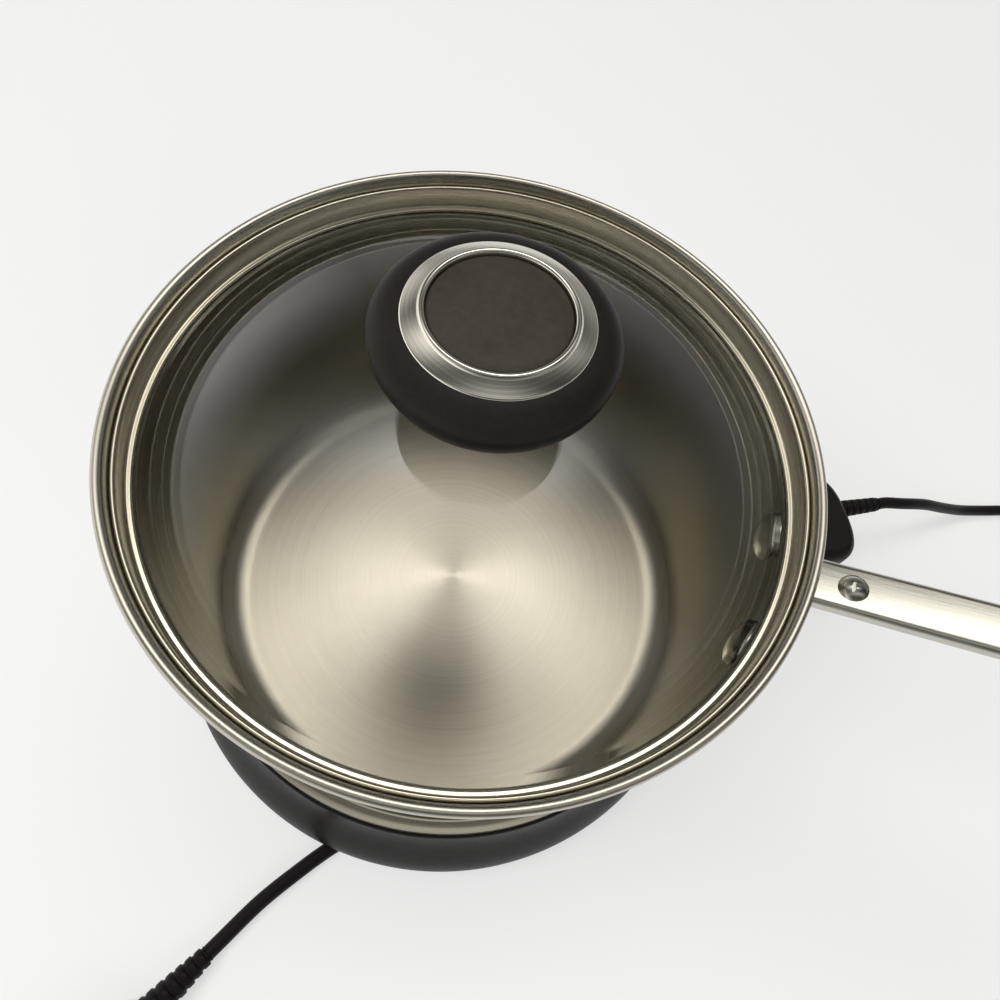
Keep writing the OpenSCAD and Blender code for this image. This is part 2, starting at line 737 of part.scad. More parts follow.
// The space between the glass's two surfaces, where the washers stop
module glass_zone() {
    difference() {
        translate([0, 0, dome_cz]) sphere(r = dome_r, $fn = 180);
        translate([0, 0, dome_cz]) sphere(r = dome_r - glass_t, $fn = 180);
        translate([0, 0, apex_z - 3 * glass_t]) cylinder(r = knob_hole_r, h = 6 * glass_t);
    }
}

// Outline of the knob's body, z measured from its foot
function knob_line() = let (side = knob_r - 9.3, mid = knob_h - 8.3) concat(
    [[0, 0], [stem_r - 0.6, 0], [stem_r, 0.6]],
    arc(stem_r + 3.4, 3.2, 3.8, 196, 130, 4),
    oval(side, mid, 9.3, 10.3, -72, 0, 9),
    oval(side, mid, 9.3, 5.9, 9, 76, 8),
    [[ring_r, knob_h - 2.6], [ring_r, knob_h - 3.9], [insert_r + 0.6, knob_h - 3.9],
     [insert_r + 0.6, knob_h - 5.6], [0, knob_h - 5.6]]);

// Moulded knob, round and fat, on a short stem
module knob_body() {
    color("#22201e") translate([0, 0, knob_z]) difference() {
        rotate_extrude() polygon(knob_line());
        translate([0, 0, -over]) cylinder(r = knob_screw_r, h = knob_h - 10);
    }
}

// Bright sloping ring round the insert, with a raised inner edge
module knob_ring() {
    z = knob_h - 3.9;
    color("white") translate([0, 0, knob_z]) rotate_extrude() polygon(concat(
        [[insert_r, z], [ring_r, z]],
        arc(ring_r - 0.8, knob_h - 2.9, 0.8, 0, 70, 3),
        [[insert_r + 1.5, knob_h - 0.6]],
        arc(insert_r + 0.5, knob_h - 0.5, 0.5, 45, 180, 4)));
}

// Dark insert in the middle of the knob
module knob_insert() {
    color("#33302e") translate([0, 0, knob_z]) rotate_extrude() polygon([
        [0, knob_h - 5.6], [insert_r, knob_h - 5.6], [insert_r, knob_h - 1.2],
        [insert_r - 0.5, knob_h - 0.7], [insert_r * 0.6, knob_h - 0.85], [0, knob_h - 0.9]]);
}

// Steel washer under the glass
module knob_washer() {
    color("silver") translate([0, 0, apex_z - glass_t - seal_t - washer_t]) difference() {
        cylinder(r = washer_r, h = washer_t);
        translate([0, 0, -over]) cylinder(r = knob_screw_r, h = washer_t + 2 * over);
    }
}

// Screw from below that holds the knob
module knob_screw() {
    head_z = apex_z - glass_t - seal_t - washer_t;
    color("silver") {
        difference() {
            translate([0, 0, head_z - 2.6]) cylinder(r = 4.4, h = 2.6);
            translate([0, 0, head_z - 2.6]) mirror([0, 0, 1]) cross_recess(2.2, 1.4);
        }
        translate([0, 0, head_z - 0.1]) cylinder(r = knob_screw_r,
            h = knob_z + knob_h - 13 - head_z);
    }
}

// ---------------------------------------------------------------- heat control

// Half width of the control at a distance u from the pot's axis
function half_w(u) = control_half_w - 0.6 - waist
    * pow(sin(180 * (u - control_in) / (control_end - end_len - control_in)), 2);

// Outline of the control in plan, drawn in by d: waisted sides and a bowed end
function control_outline(d) = let (u1 = control_end - end_len, n = 10) concat(
    [for (i = [0:n]) let (u = control_in + (u1 - control_in) * i / n)
        [max(u, control_in + d), d - half_w(u)]],
    [for (i = [1:13]) let (a = -90 + 180 * i / 14, k = 0.75)
        [u1 + (end_len - d) * pow(cos(a), k),
         (half_w(u1) - d) * sign(sin(a)) * pow(abs(sin(a)), k)]],
    [for (i = [n:-1:0]) let (u = control_in + (u1 - control_in) * i / n)
        [max(u, control_in + d), half_w(u) - d]]);

function control_ring(d, z) = [for (p = control_outline(d)) [p[0], p[1], z]];

// Places of the four screws that join the shells
control_screw_places = [for (u = [sleeve_back + boss_clear, control_end - end_len],
    v = [-pin_pitch, pin_pitch]) [u, v]];

// Upper shell of the control, crowned, with holes for the dial's shaft and the lens
module control_upper() {
    color("#1a1918") along_control() difference() {
        skin([control_ring(0, split_z), control_ring(0, control_top - crown_h),
            control_ring(0.5, control_top - 4.5), control_ring(1.6, control_top - 1.8),
            control_ring(3.4, control_top - 0.4), control_ring(5, control_top)]);
        skin([control_ring(shell_t, split_z - over), control_ring(shell_t, control_top - crown_h),
            control_ring(shell_t + 2, control_top - shell_t)]);
        rounded_bar(nose_w, nose_h, 2.2, control_in - over, control_in + shell_t + over);
        translate([dial_u, 0, split_z]) cylinder(r = shaft_r + 0.6, h = control_h);
        at_lens() cylinder(r = 2.6, h = control_h, center = true);
        bar(cord_relief_neck(), control_end - shell_t - 4, control_end + over, relief_v, relief_z);
    }
}

// Lower shell, with four bosses for the screws
module control_lower() {
    color("#1a1918") along_control() difference() {
        union() {
            difference() {
                skin([control_ring(2.4, control_z), control_ring(0.8, control_z + 0.8),
                    control_ring(0, control_z + 2.6), control_ring(0, split_z)]);
                skin([control_ring(shell_t + 1, control_z + shell_t),
                    control_ring(shell_t, control_z + shell_t + 2),
                    control_ring(shell_t, split_z + over)]);
            }
            for (p = control_screw_places) translate([p[0], p[1], control_z + 1])
                cylinder(r = control_boss_r, h = split_z - control_z - 1);
        }
        rounded_bar(nose_w, nose_h, 2.2, control_in - over, nose_back);
        for (p = control_screw_places) translate([p[0], p[1], 0]) {
            cylinder(r = control_screw_r, h = control_top);
            cylinder(r = control_screw_r + 1.2, h = control_z + 1.6);
        }
    }
}

// Puts children at the pilot lens, on the top of the control
module at_lens() {
    translate([dial_u + dial_r + 5, 0, control_top]) children();
}

// Nose that plugs into the base's socket and carries the contacts
module control_nose() {
    color("#3b3430") along_control() difference() {
        union() {
            rounded_bar(nose_w, nose_h, 2.2, nose_in, nose_back);
            rounded_bar(nose_w - 2, nose_h - 3, 2, control_in + shell_t, nose_back + 2);
        }
        for (side = [-1, 1]) bar(pin_r + contact_gap + sleeve_t, nose_in - over, nose_back + 3,
            side * pin_pitch, pin_z);
        bar(probe_r, nose_in - over, nose_back + 3, 0, pin_z);
    }
}

// Brass sleeves that take the terminal pins
module contact_sleeves() {
    r = pin_r + contact_gap;
    color("goldenrod") along_control() for (side = [-1, 1]) difference() {
        bar(r + sleeve_t, nose_in + 0.8, sleeve_back, side * pin_pitch, pin_z);
        bar(r, nose_in, pin_tip + 2, side * pin_pitch, pin_z);
    }
}

// Rod that feels the heat under the pot
module probe_rod() {
    color("silver") along_control() {
        bar(probe_r, probe_tip + probe_r, nose_back + 4, 0, pin_z);
        translate([probe_tip + probe_r, 0, pin_z]) sphere(r = probe_r);
    }
}

// Bimetal switch inside the control: a bracket, a bush for the dial and a stack of leaves
module thermostat() {
    u0 = nose_back + 4;
    deck_z = pin_z - 3.4;
    color("tan") along_control() difference() {
        union() {
            translate([u0, -5, deck_z]) cube([dial_u + 7 - u0, 10, 1.2]);
            translate([u0, -4, deck_z]) cube([1.4, 8, 8]);
            translate([dial_u, 0, deck_z]) cylinder(r = 5, h = control_top - shell_t - deck_z - 5);
            for (k = [0:2]) translate([u0 + 2.4, -3, deck_z + 3 + 2.2 * k])
                cube([dial_u - 5.2 - u0 - 0.4, 6, 0.6]);
            translate([u0 + 6, 0, deck_z]) cylinder(r = 2.2, h = 9.4);
        }
        translate([dial_u, 0, deck_z + 1.2]) cylinder(r = shaft_r + 0.3, h = control_h);
    }
}

// Amber lens of the pilot lamp
module pilot_lens() {
    color("orange") along_control() at_lens() {
        translate([0, 0, -shell_t - 3]) cylinder(r = 2.6, h = shell_t + 3);
        intersection() {
            translate([0, 0, -2.6]) sphere(r = 4);
            cylinder(r = 2.6, h = 3);
        }
    }
}

// Four screws that join the shells from below
module control_screws() {
    color("silver") along_control() for (p = control_screw_places) translate([p[0], p[1], 0]) {
        difference() {
            translate([0, 0, control_z + 0.2]) cylinder(r = control_screw_r + 1.2, h = 1.4);
            translate([0, 0, control_z + 0.2]) mirror([0, 0, 1]) cross_recess(1.6, 0.8);
        }
        translate([0, 0, control_z + 1.5]) cylinder(r = control_screw_r,
            h = split_z - control_z - 2);
    }
}

// Radius of the strain relief where it passes through the control's wall
function cord_relief_neck() = cord_d / 2 + 1.5;

// Tapered and ribbed strain relief, root at x = 0, for a cord of radius c
module ribbed_relief(c, root, len, ribs) {
    pitch = len / ribs;
    rotate([0, 90, 0]) rotate_extrude() polygon(concat([[0, 0]],
        [for (k = [0:ribs - 1]) let (r = root + (c + 0.7 - root) * k / (ribs - 1))
            each [[r, pitch * k], [r, pitch * (k + 0.62)], [r - 0.7, pitch * (k + 0.68)],
                [r - 0.7, pitch * (k + 0.94)]]],
        [[c + 0.4, len], [0, len]]));
}

// Strain relief that leaves the control
module cord_relief() {
    color("#141312") along_control() translate([control_end - 1.6, relief_v, relief_z]) {
        ribbed_relief(cord_d / 2, cord_relief_neck(), relief_len + 1.6, 7);
        bar(cord_relief_neck(), -3, 0.2);
    }
}

// Dial with a grooved rim and a raised pointer
module control_dial() {
    z = control_top + 0.5;
    h = 9;
    color("#24211f") along_control() translate([dial_u, 0, z]) difference() {
        union() {
            rotate_extrude() polygon([[0, 0], [dial_r, 0], [dial_r, 2.2], [dial_r - 1.4, 3],
                [dial_r - 2.2, h - 1], [dial_r - 3.2, h], [0, h]]);
            translate([-dial_r + 5, -1.4, h - 0.1]) cube([2 * dial_r - 10, 2.8, 1.9]);
        }
        for (k = [0:23]) rotate([0, 0, 15 * k + 7.5]) translate([dial_r - 0.6, 0, 3])
            cylinder(r = 1.1, h = h);
        translate([0, 0, -over]) cylinder(r = shaft_r, h = h - 2);
    }
}

// Shaft that turns with the dial and sets the switch
module dial_shaft() {
    z0 = pin_z - 2;
    color("goldenrod") along_control() translate([dial_u, 0, z0])
        cylinder(r = shaft_r, h = control_top + 0.5 + 9 - 3 - z0);
}

// ---------------------------------------------------------------- cord and plug

// Where the cord meets the control's strain relief and the plug's
function turned(u, v) = [u * cos(control_az) - v * sin(control_az),
    u * sin(control_az) + v * cos(control_az)];
cord_start = [each turned(control_end + relief_len, relief_v), relief_z];
cord_lead = [each turned(control_end + relief_len + cord_d, relief_v), relief_z];
plug_dir = [cos(plug_heading) * cos(plug_pitch), sin(plug_heading) * cos(plug_pitch),
    sin(plug_pitch)];

// Point on a smooth curve between b and c, with a and d as its neighbours
function between(a, b, c, d, t) = 0.5 * (2 * b + (c - a) * t
    + (2 * a - 5 * b + 4 * c - d) * t * t + (3 * b - a - 3 * c + d) * t * t * t);

cord_points = concat([cord_start, cord_lead], cord_route, [plug_at - plug_dir * cord_d, plug_at]);
cord_last = len(cord_points) - 1;
cord_path = concat(
    [for (i = [0:cord_last - 1], s = [0:cord_steps - 1])
        between(cord_points[max(0, i - 1)], cord_points[i], cord_points[i + 1],
            cord_points[min(cord_last, i + 2)], s / cord_steps)],
    [plug_at]);

function unit(v) = v / norm(v);
function path_dir(path, i) = i == 0 ? unit([each turned(1, 0), 0])
    : i == len(path) - 1 ? plug_dir : unit(path[i + 1] - path[i - 1]);
function path_ring(path, i, r) = let (d = path_dir(path, i), side = unit(cross(d, [0, 0, 1])),
    up = cross(side, d)) [for (k = [0:cord_sides - 1]) let (a = 360 * k / cord_sides)
        path[i] + r * (cos(a) * side + sin(a) * up)];

// The whole cord as one tube
module cord() {
    color("#121110") skin([for (i = [0:len(cord_path) - 1]) path_ring(cord_path, i, cord_d / 2)]);
}

// Puts children at the end of the cord, with +X running on into the plug
module at_plug() {
    translate(plug_at) rotate([0, -plug_pitch, plug_heading]) children();
}

// Strain relief of the plug
module plug_relief() {
    color("#141312") at_plug() translate([plug_relief_len, 0, 0]) rotate([0, 0, 180])
        ribbed_relief(cord_d / 2, plug_relief_r + 2, plug_relief_len, 7);
}

// Shape of the plug along its length: t runs from 0 at the cord to 1 at the blades
function plug_w(t) = plug_half_w * (0.62 + 0.38 * sin(90 * min(1, t * 3.2)))
    * (1 - 0.13 * pow(sin(180 * min(1, max(0, t - 0.25) / 0.6)), 2));
function plug_h(t) = plug_half_h * (0.72 + 0.28 * sin(90 * min(1, t * 2.6)));
function plug_ring(t) = [for (i = [0:23]) let (a = 360 * i / 24, k = 0.7)
    [plug_relief_len + plug_len * t, plug_w(t) * sign(cos(a)) * pow(abs(cos(a)), k),
     plug_h(t) * sign(sin(a)) * pow(abs(sin(a)), k)]];

// Moulded plug
module plug_body() {
    color("#141312") at_plug() difference() {
        skin([for (t = [0, 0.06, 0.14, 0.25, 0.4, 0.55, 0.7, 0.85, 0.97, 1]) plug_ring(t)]);
        for (side = [-1, 1]) translate([plug_relief_len + plug_len - 6,
            side * blade_pitch / 2 - blade_t / 2, -blade_w / 2]) cube([8, blade_t, blade_w]);
    }
}

// Two flat blades
module plug_blades() {
    color("goldenrod") at_plug() for (side = [-1, 1])
        translate([plug_relief_len + plug_len - 6, side * blade_pitch / 2 - blade_t / 2,
            -blade_w / 2]) difference() {
                cube([6 + blade_len, blade_t, blade_w]);
                translate([6 + blade_len - 4, -over, blade_w / 2]) rotate([-90, 0, 0])
                    cylinder(r = 1.5, h = blade_t + 2 * over);
            }
}

pot();
handle_bracket();
handle_rivets();
handle_strap();
handle_screw();
handle_nut();
handle_grip();
grip_screw();
heat_spreader();
heating_element();
terminal_pins();
probe_sleeve();
terminal_block();
heat_shield();
base_studs();
base_nuts();
base_skirt();
socket_shroud();
deck_ring();
bottom_plate();
base_feet();
foot_screws();
lid_glass();
lid_band();
lid_seals();
knob_body();
knob_ring();
knob_insert();
knob_washer();
knob_screw();
control_upper();
control_lower();
control_nose();
contact_sleeves();
probe_rod();
thermostat();
pilot_lens();
control_screws();
cord_relief();
control_dial();
dial_shaft();
cord();
plug_relief();
plug_body();
plug_blades();
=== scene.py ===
"""The looks of an electric hot pot with a lift-off glass lid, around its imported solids.

Metres throughout. The origin is on the pot's axis at the height of the table, +Z is up and
+X runs out along the handle. Each operator makes one piece, or a group of like pieces.
"""

import math

import bmesh
import bpy
from bpy.props import FloatProperty, FloatVectorProperty, IntProperty, PointerProperty
from mathutils import Matrix, Vector


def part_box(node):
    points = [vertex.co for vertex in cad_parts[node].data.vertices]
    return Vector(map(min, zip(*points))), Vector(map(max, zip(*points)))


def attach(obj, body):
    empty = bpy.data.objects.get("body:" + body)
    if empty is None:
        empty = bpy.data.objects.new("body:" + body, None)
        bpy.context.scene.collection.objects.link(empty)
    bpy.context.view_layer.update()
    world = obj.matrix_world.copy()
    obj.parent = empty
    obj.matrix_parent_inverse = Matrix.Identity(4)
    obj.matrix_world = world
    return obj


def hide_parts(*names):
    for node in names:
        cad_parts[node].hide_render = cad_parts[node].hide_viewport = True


bl_info = {
    "name": "Electric Hot Pot",
    "version": (1, 0, 0),
    "blender": (4, 5, 0),
    "location": "View3D > Sidebar > Hot Pot",
    "description": "Builds the finished pieces of an electric hot pot on its packed solids",
    "category": "Object",
}

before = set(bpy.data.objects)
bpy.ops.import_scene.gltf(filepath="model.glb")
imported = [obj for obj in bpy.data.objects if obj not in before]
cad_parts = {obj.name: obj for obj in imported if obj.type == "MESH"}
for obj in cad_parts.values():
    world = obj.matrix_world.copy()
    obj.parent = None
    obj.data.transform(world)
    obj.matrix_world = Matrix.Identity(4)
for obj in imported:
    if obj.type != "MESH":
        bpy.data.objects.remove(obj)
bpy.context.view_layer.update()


def length(name, description, default):
    """A length in metres that a user can change."""
    return FloatProperty(
        name=name, description=description, default=default, unit="LENGTH", subtype="DISTANCE"
    )


def colour(name, description, default):
    """A linear colour that a user can change."""
    return FloatVectorProperty(
        name=name, description=description, default=default, size=3, min=0.0, max=1.0,
        subtype="COLOR",
    )


class PotSizes(bpy.types.PropertyGroup):
    wall_r: length("Wall radius", "Inner radius of the straight wall", 0.0905)
    wall_t: length("Wall", "Thickness of the steel", 0.0012)
    floor_z: length("Floor height", "Height of the inner floor", 0.029)
    corner_r: length("Corner radius", "Inner radius between the floor and the wall", 0.009)
    rim_z: length("Rim height", "Top of the rolled rim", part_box("pot")[1].z)
    seat_z: length("Seat height", "Height of the step that the lid rests on", 0.1335)
    seat_w: length("Seat width", "Width of the step", 0.0026)
    flare: length("Mouth flare", "Flare from the seat to the bead", 0.0011)
    bead_r: length("Bead radius", "Radius of the rolled bead", 0.0014)


class LidSizes(bpy.types.PropertyGroup):
    edge_r: length("Lid radius", "Outer radius of the band at its foot", 0.0928)
    band_h: length("Band height", "Height of the steel band", 0.0128)
    band_t: length("Band wall", "Thickness of the band's steel", 0.0008)
    lip_w: length("Lip width", "Width of the band's lip over the glass", 0.0019)
    glass_t: length("Glass", "Thickness of the glass", 0.0038)
    dome_rise: length("Dome rise", "Rise of the glass from its edge to its top", 0.027)


class KnobSizes(bpy.types.PropertyGroup):
    foot_z: length("Foot height", "Underside of the knob's stem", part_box("knob_body")[0].z)
    height: length("Height", "From the stem's foot to the top", 0.0286)
    radius: length("Radius", "Largest radius of the body", 0.0288)
    ring_r: length("Ring radius", "Outer radius of the bright ring", 0.0217)
    insert_r: length("Insert radius", "Radius of the dark insert", 0.0162)


class HandleSizes(bpy.types.PropertyGroup):
    start_x: length("Strap start", "Where the strap starts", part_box("handle_strap")[0].x)
    strap_w: length("Strap width", "Width of the strap", 0.014)
    strap_t: length("Strap", "Thickness of the strap's steel", 0.0015)
    strap_edge: length("Strap edge", "Depth of the turned-down edges", 0.0034)
    grip_x: length("Grip start", "Where the grip starts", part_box("handle_grip")[0].x)
    grip_len: length("Grip length", "Length of the grip", 0.116)
    grip_w: length("Grip width", "Width of the grip", 0.027)
    grip_h: length("Grip thickness", "Thickness of the grip", 0.017)
    hang_r: length("Hanging hole", "Radius of the hole at the grip's end", 0.004)
    rivet_r: length("Rivet heads", "Radius of a rivet's head inside the pot", 0.0072)
    rivet_z: length("Rivet height", "Height of the rivets", 0.1245)


class BaseSizes(bpy.types.PropertyGroup):
    top_z: length("Skirt height", "Top edge of the skirt", 0.046)
    foot_z: length("Skirt foot", "Foot edge of the skirt", 0.0085)
    top_r: length("Top radius", "Radius of the skirt's top edge", 0.1005)
    flare: length("Flare", "How far the skirt spreads to its foot", 0.011)
    wall: length("Wall", "Wall of the skirt", 0.003)


class ControlSizes(bpy.types.PropertyGroup):
    turn: FloatProperty(
        name="Direction", description="Direction in which the control plugs in",
        default=math.radians(34), unit="ROTATION", subtype="ANGLE",
    )
    start: length("Start", "Where the control's body starts", 0.114)
    end: length("End", "Where the control's body ends", 0.184)
    half_w: length("Half width", "Half of the control's width", 0.0224)
    under_z: length("Underside", "Height of the control's underside", 0.010)
    height: length("Height", "Height of the control's body", 0.030)
    split_z: length("Split line", "Height of the line between the shells", 0.023)
    dial_at: length("Dial place", "Distance of the dial from the pot's axis", 0.139)
    dial_r: length("Dial radius", "Radius of the dial", 0.016)


class CordSizes(bpy.types.PropertyGroup):
    thickness: length("Thickness", "Diameter of the cord", 0.0055)
    relief_len: length("Relief length", "Length of the control's strain relief", 0.024)
    plug_relief_len: length("Plug relief", "Length of the plug's strain relief", 0.024)
    plug_len: length("Plug length", "Length of the plug's body", 0.034)
    sides: IntProperty(
        name="Smoothness", description="Steps between two of the route's points",
        default=8, min=2, max=16,
    )


class Finishes(bpy.types.PropertyGroup):
    # The inner wall's colour is darkened as painted shade and the floor's colour is lightened as
    # painted reflection; both are one steel
    pot_steel: colour("Pot steel", "Brushed steel of the wall", (0.28, 0.255, 0.185))
    floor_steel_painted_light: colour("Pot floor", "Turned steel of the pot's floor", (0.52, 0.48, 0.40))
    shell_steel: colour("Pot outside", "Brushed steel outside", (0.56, 0.53, 0.455))
    band_steel: colour("Band steel", "Steel of the lid's band", (0.62, 0.58, 0.47))
    fitting_steel: colour("Fittings", "Steel of strap, rivets and screws", (0.55, 0.53, 0.47))
    ring_metal: colour("Bright ring", "Metal of the knob's ring", (0.84, 0.80, 0.71))
    glass: colour("Glass", "Tint of the lid's glass", (0.978, 0.982, 0.965))
    moulding: colour("Black moulding", "Skirt, control and dial", (0.014, 0.012, 0.011))
    knob: colour("Knob", "Moulding of the knob", (0.016, 0.014, 0.012))
    insert: colour("Insert", "Insert of the knob", (0.052, 0.044, 0.034))
    grip: colour("Grip", "Moulding of the grip", (0.016, 0.015, 0.014))
    cord: colour("Cord", "Jacket of the cord", (0.010, 0.009, 0.009))
    brass: colour("Brass", "Contacts and blades", (0.72, 0.55, 0.27))
    lens: colour("Lens", "Lens of the pilot lamp", (0.80, 0.28, 0.03))
    floor: colour("Floor", "The pale floor", (0.86, 0.86, 0.86))


class HotPotSettings(bpy.types.PropertyGroup):
    pot: PointerProperty(type=PotSizes)
    lid: PointerProperty(type=LidSizes)
    knob: PointerProperty(type=KnobSizes)
    handle: PointerProperty(type=HandleSizes)
    base: PointerProperty(type=BaseSizes)
    control: PointerProperty(type=ControlSizes)
    cord: PointerProperty(type=CordSizes)
    finish: PointerProperty(type=Finishes)


# --- shaders


def maths(operation, turned=False):
    """A Python operator that adds a Math node; turned swaps its two values."""

    def add_node(self, other):
        first, second = (other, self) if turned else (self, other)
        return self.finish.node("ShaderNodeMath", {"operation": operation}, {0: first, 1: second})

    return add_node


class Wire:
    """A node's output that can be used in sums."""

    def __init__(self, finish, socket):
        self.finish = finish
        self.socket = socket

    __add__ = __radd__ = maths("ADD")
    __sub__ = maths("SUBTRACT")
    __rsub__ = maths("SUBTRACT", turned=True)
    __mul__ = __rmul__ = maths("MULTIPLY")
    __truediv__ = maths("DIVIDE")
    __pow__ = maths("POWER")
    __rpow__ = maths("POWER", turned=True)


class Finish:
    """A material and the nodes that make it."""

    def __init__(self, name, tree=None):
        if tree is None:
            self.material = bpy.data.materials.new(name)
            self.material.use_nodes = True
            tree = self.material.node_tree
        self.tree = tree
        tree.nodes.clear()

    def node(self, kind, setup=None, sockets=None, out=0):
        """Adds a node, sets it up and returns one of its outputs."""
        made = self.tree.nodes.new(kind)
        for key, value in (setup or {}).items():
            setattr(made, key, value)
        for key, value in (sockets or {}).items():
            if isinstance(value, Wire):
                self.tree.links.new(value.socket, made.inputs[key])
            else:
                made.inputs[key].default_value = value
        return Wire(self, made.outputs[out]) if len(made.outputs) else made

    def place(self):
        """Object coordinates."""
        return self.node("ShaderNodeTexCoord", out="Object")

    def parts(self, vector):
        """The three numbers of a vector."""
        split = self.node("ShaderNodeSeparateXYZ", sockets={0: vector})
        return [Wire(self, output) for output in split.socket.node.outputs]

    def noise(self, vector, scale, detail=3.0):
        return self.node(
            "ShaderNodeTexNoise", sockets={"Vector": vector, "Scale": scale, "Detail": detail}
        )

    def spread(self, value, low, high, to_low, to_high):
        """Carries the range from low to high over to another one, and stops at its ends."""
        return self.node(
            "ShaderNodeMapRange", {"clamp": True},
            {0: value, 1: low, 2: high, 3: to_low, 4: to_high},
        )

    def blend(self, amount, first, second):
        """A colour between two colours."""
        return self.node(
            "ShaderNodeMix", {"data_type": "RGBA"}, {0: amount, 6: rgba(first), 7: rgba(second)},
            out=2,
        )

    def bump(self, height, strength, depth):
        return self.node(
            "ShaderNodeBump", sockets={"Height": height, "Strength": strength, "Distance": depth}
        )

    def principled(self, **sockets):
        """The shader of most materials, its sockets named with _ for a space."""
        named = {key.replace("_", " "): value for key, value in sockets.items()}
        return self.node("ShaderNodeBsdfPrincipled", sockets=named)

    def close(self, shader):
        """Ends the material with its shader."""
        self.node("ShaderNodeOutputMaterial", sockets={"Surface": shader})
        return self.material

    def surface(self, **sockets):
        """Ends the material with one Principled shader."""
        return self.close(self.principled(**sockets))


def rgba(value):
    """A colour with its alpha, or the wire that was given."""
    if isinstance(value, Wire) or len(value) == 4:
        return value
    return (*value, 1.0)


def shade(tint, factor):
    """A colour made lighter or darker."""
    return tuple(min(1.0, part * factor) for part in tint)


FINE_MARKS = 2600.0
CLOUDS = 38.0


def around(finish):
    """The distance from the Z axis and the height."""
    x, y, z = finish.parts(finish.place())
    return (x * x + y * y) ** 0.5, z


def turned_marks(finish, radius, height, fine_scale, wide_scale):
    """Fine and wide marks that run round the Z axis, and the clouds of use over them."""
    lines = finish.node("ShaderNodeCombineXYZ", sockets={0: radius, 1: height})
    return (
        finish.noise(lines, fine_scale, 2.0),
        finish.noise(lines, wide_scale),
        finish.noise(finish.place(), CLOUDS, 4.0),
    )


def turned_steel(name, tint, rough, grain=1.0):
    """Steel with fine marks that run round the Z axis."""
    finish = Finish(name)
    fine, wide, cloud = turned_marks(finish, *around(finish), FINE_MARKS * grain, 240.0 * grain)
    mixed = fine * 0.45 + wide * 0.35 + cloud * 0.2
    tone = finish.spread(mixed, 0.3, 0.7, 0.0, 1.0)
    return finish.surface(
        Base_Color=finish.blend(tone, shade(tint, 0.86), shade(tint, 1.12)),
        Metallic=1.0,
        Roughness=finish.spread(mixed, 0.25, 0.75, rough * 0.8, rough * 1.2),
        Normal=finish.bump(fine * 0.6 + wide * 0.4, 0.12, 0.0002),
    )


def pot_steel(wall, floor, outside, floor_z, wall_r):
    """Brushed steel with painted shade that darkens the inner wall and a painted reflection that
    lightens the floor; plain outside and on the rim.
    """
    finish = Finish("pot_steel")
    radius, z = around(finish)
    fine, wide, cloud = turned_marks(finish, radius, z, FINE_MARKS, 420.0)
    mixed = fine * 0.5 + wide * 0.3 + cloud * 0.2
    tone = finish.spread(mixed, 0.3, 0.7, 0.0, 1.0)
    upright = finish.spread(z, floor_z + 0.004, floor_z + 0.013, 0.0, 1.0)
    outer = finish.spread(radius, wall_r + 0.0003, wall_r + 0.0008, 0.0, 1.0)
    # Painted light: a lighter copy of the steel on the floor stands for reflection, and a darker
    # copy on the wall stands for shade
    inside = finish.blend(
        upright,
        finish.blend(tone, shade(floor, 0.88), shade(floor, 1.1)),
        finish.blend(tone, shade(wall, 0.92), shade(wall, 1.08)),
    )
    back = finish.blend(tone, shade(outside, 0.9), shade(outside, 1.1))
    # A quarter turn lays the stretched highlights out as two fans on the floor
    return finish.surface(
        Base_Color=finish.blend(outer, inside, back),
        Metallic=1.0,
        Roughness=(0.34 - upright * 0.12) * finish.spread(mixed, 0.25, 0.75, 0.85, 1.15),
        Anisotropic=0.9,
        Anisotropic_Rotation=0.25,
        Normal=finish.bump((fine * 0.7 + wide * 0.3) * (1 - upright * 0.8), 0.1, 0.0002),
    )


def plain_steel(name, tint, rough, grain=(1.0, 40.0, 1.0)):
    """Steel with fine straight marks, which grain stretches along one axis."""
    finish = Finish(name)
    lines = finish.node(
        "ShaderNodeVectorMath", {"operation": "MULTIPLY"}, {0: finish.place(), 1: grain}
    )
    marks = finish.noise(lines, 60.0)
    cloud = finish.noise(finish.place(), 55.0)
    tone = finish.spread(marks * 0.6 + cloud * 0.4, 0.3, 0.7, 0.0, 1.0)
    return finish.surface(
        Base_Color=finish.blend(tone, shade(tint, 0.88), shade(tint, 1.1)),
        Metallic=1.0,
        Roughness=finish.spread(marks, 0.3, 0.7, rough * 0.8, rough * 1.25),
        Normal=finish.bump(marks, 0.1, 0.0001),
    )


def moulding(name, tint, rough, grain=900.0, relief=0.18, coat=0.0, shine=0.1):
    """Moulded plastic or rubber with a fine grain and slight handling marks."""
    finish = Finish(name)
    pebbles = finish.noise(finish.place(), grain)
    cloud = finish.noise(finish.place(), 42.0, 4.0)
    tone = finish.spread(cloud * 0.6 + pebbles * 0.4, 0.3, 0.7, 0.0, 1.0)
    worn = cloud * 0.5 + pebbles * 0.5
    return finish.surface(
        Base_Color=finish.blend(tone, shade(tint, 0.8), shade(tint, 1.3)),
        Roughness=finish.spread(worn, 0.3, 0.7, rough * 0.85, rough * 1.15),
        Specular_IOR_Level=shine,
        Coat_Weight=coat,
        Coat_Roughness=0.12,
        Normal=finish.bump(pebbles, relief, 0.0001),
    )


def clear_glass(name, tint):
    """Clear glass that lets light through without darkening what is under it."""
    finish = Finish(name)
    smear = finish.noise(finish.place(), 30.0, 4.0)
    body = finish.principled(
        Base_Color=finish.blend(smear, shade(tint, 0.97), shade(tint, 1.03)),
        Roughness=0.0, IOR=1.47, Transmission_Weight=1.0,
    )
    clear = finish.node("ShaderNodeBsdfTransparent", sockets={"Color": rgba(shade(tint, 0.98))})
    rays = finish.node("ShaderNodeLightPath", out="Is Shadow Ray")
    both = finish.node("ShaderNodeMixShader", sockets={0: rays, 1: body, 2: clear})
    return finish.close(both)


# --- shapes


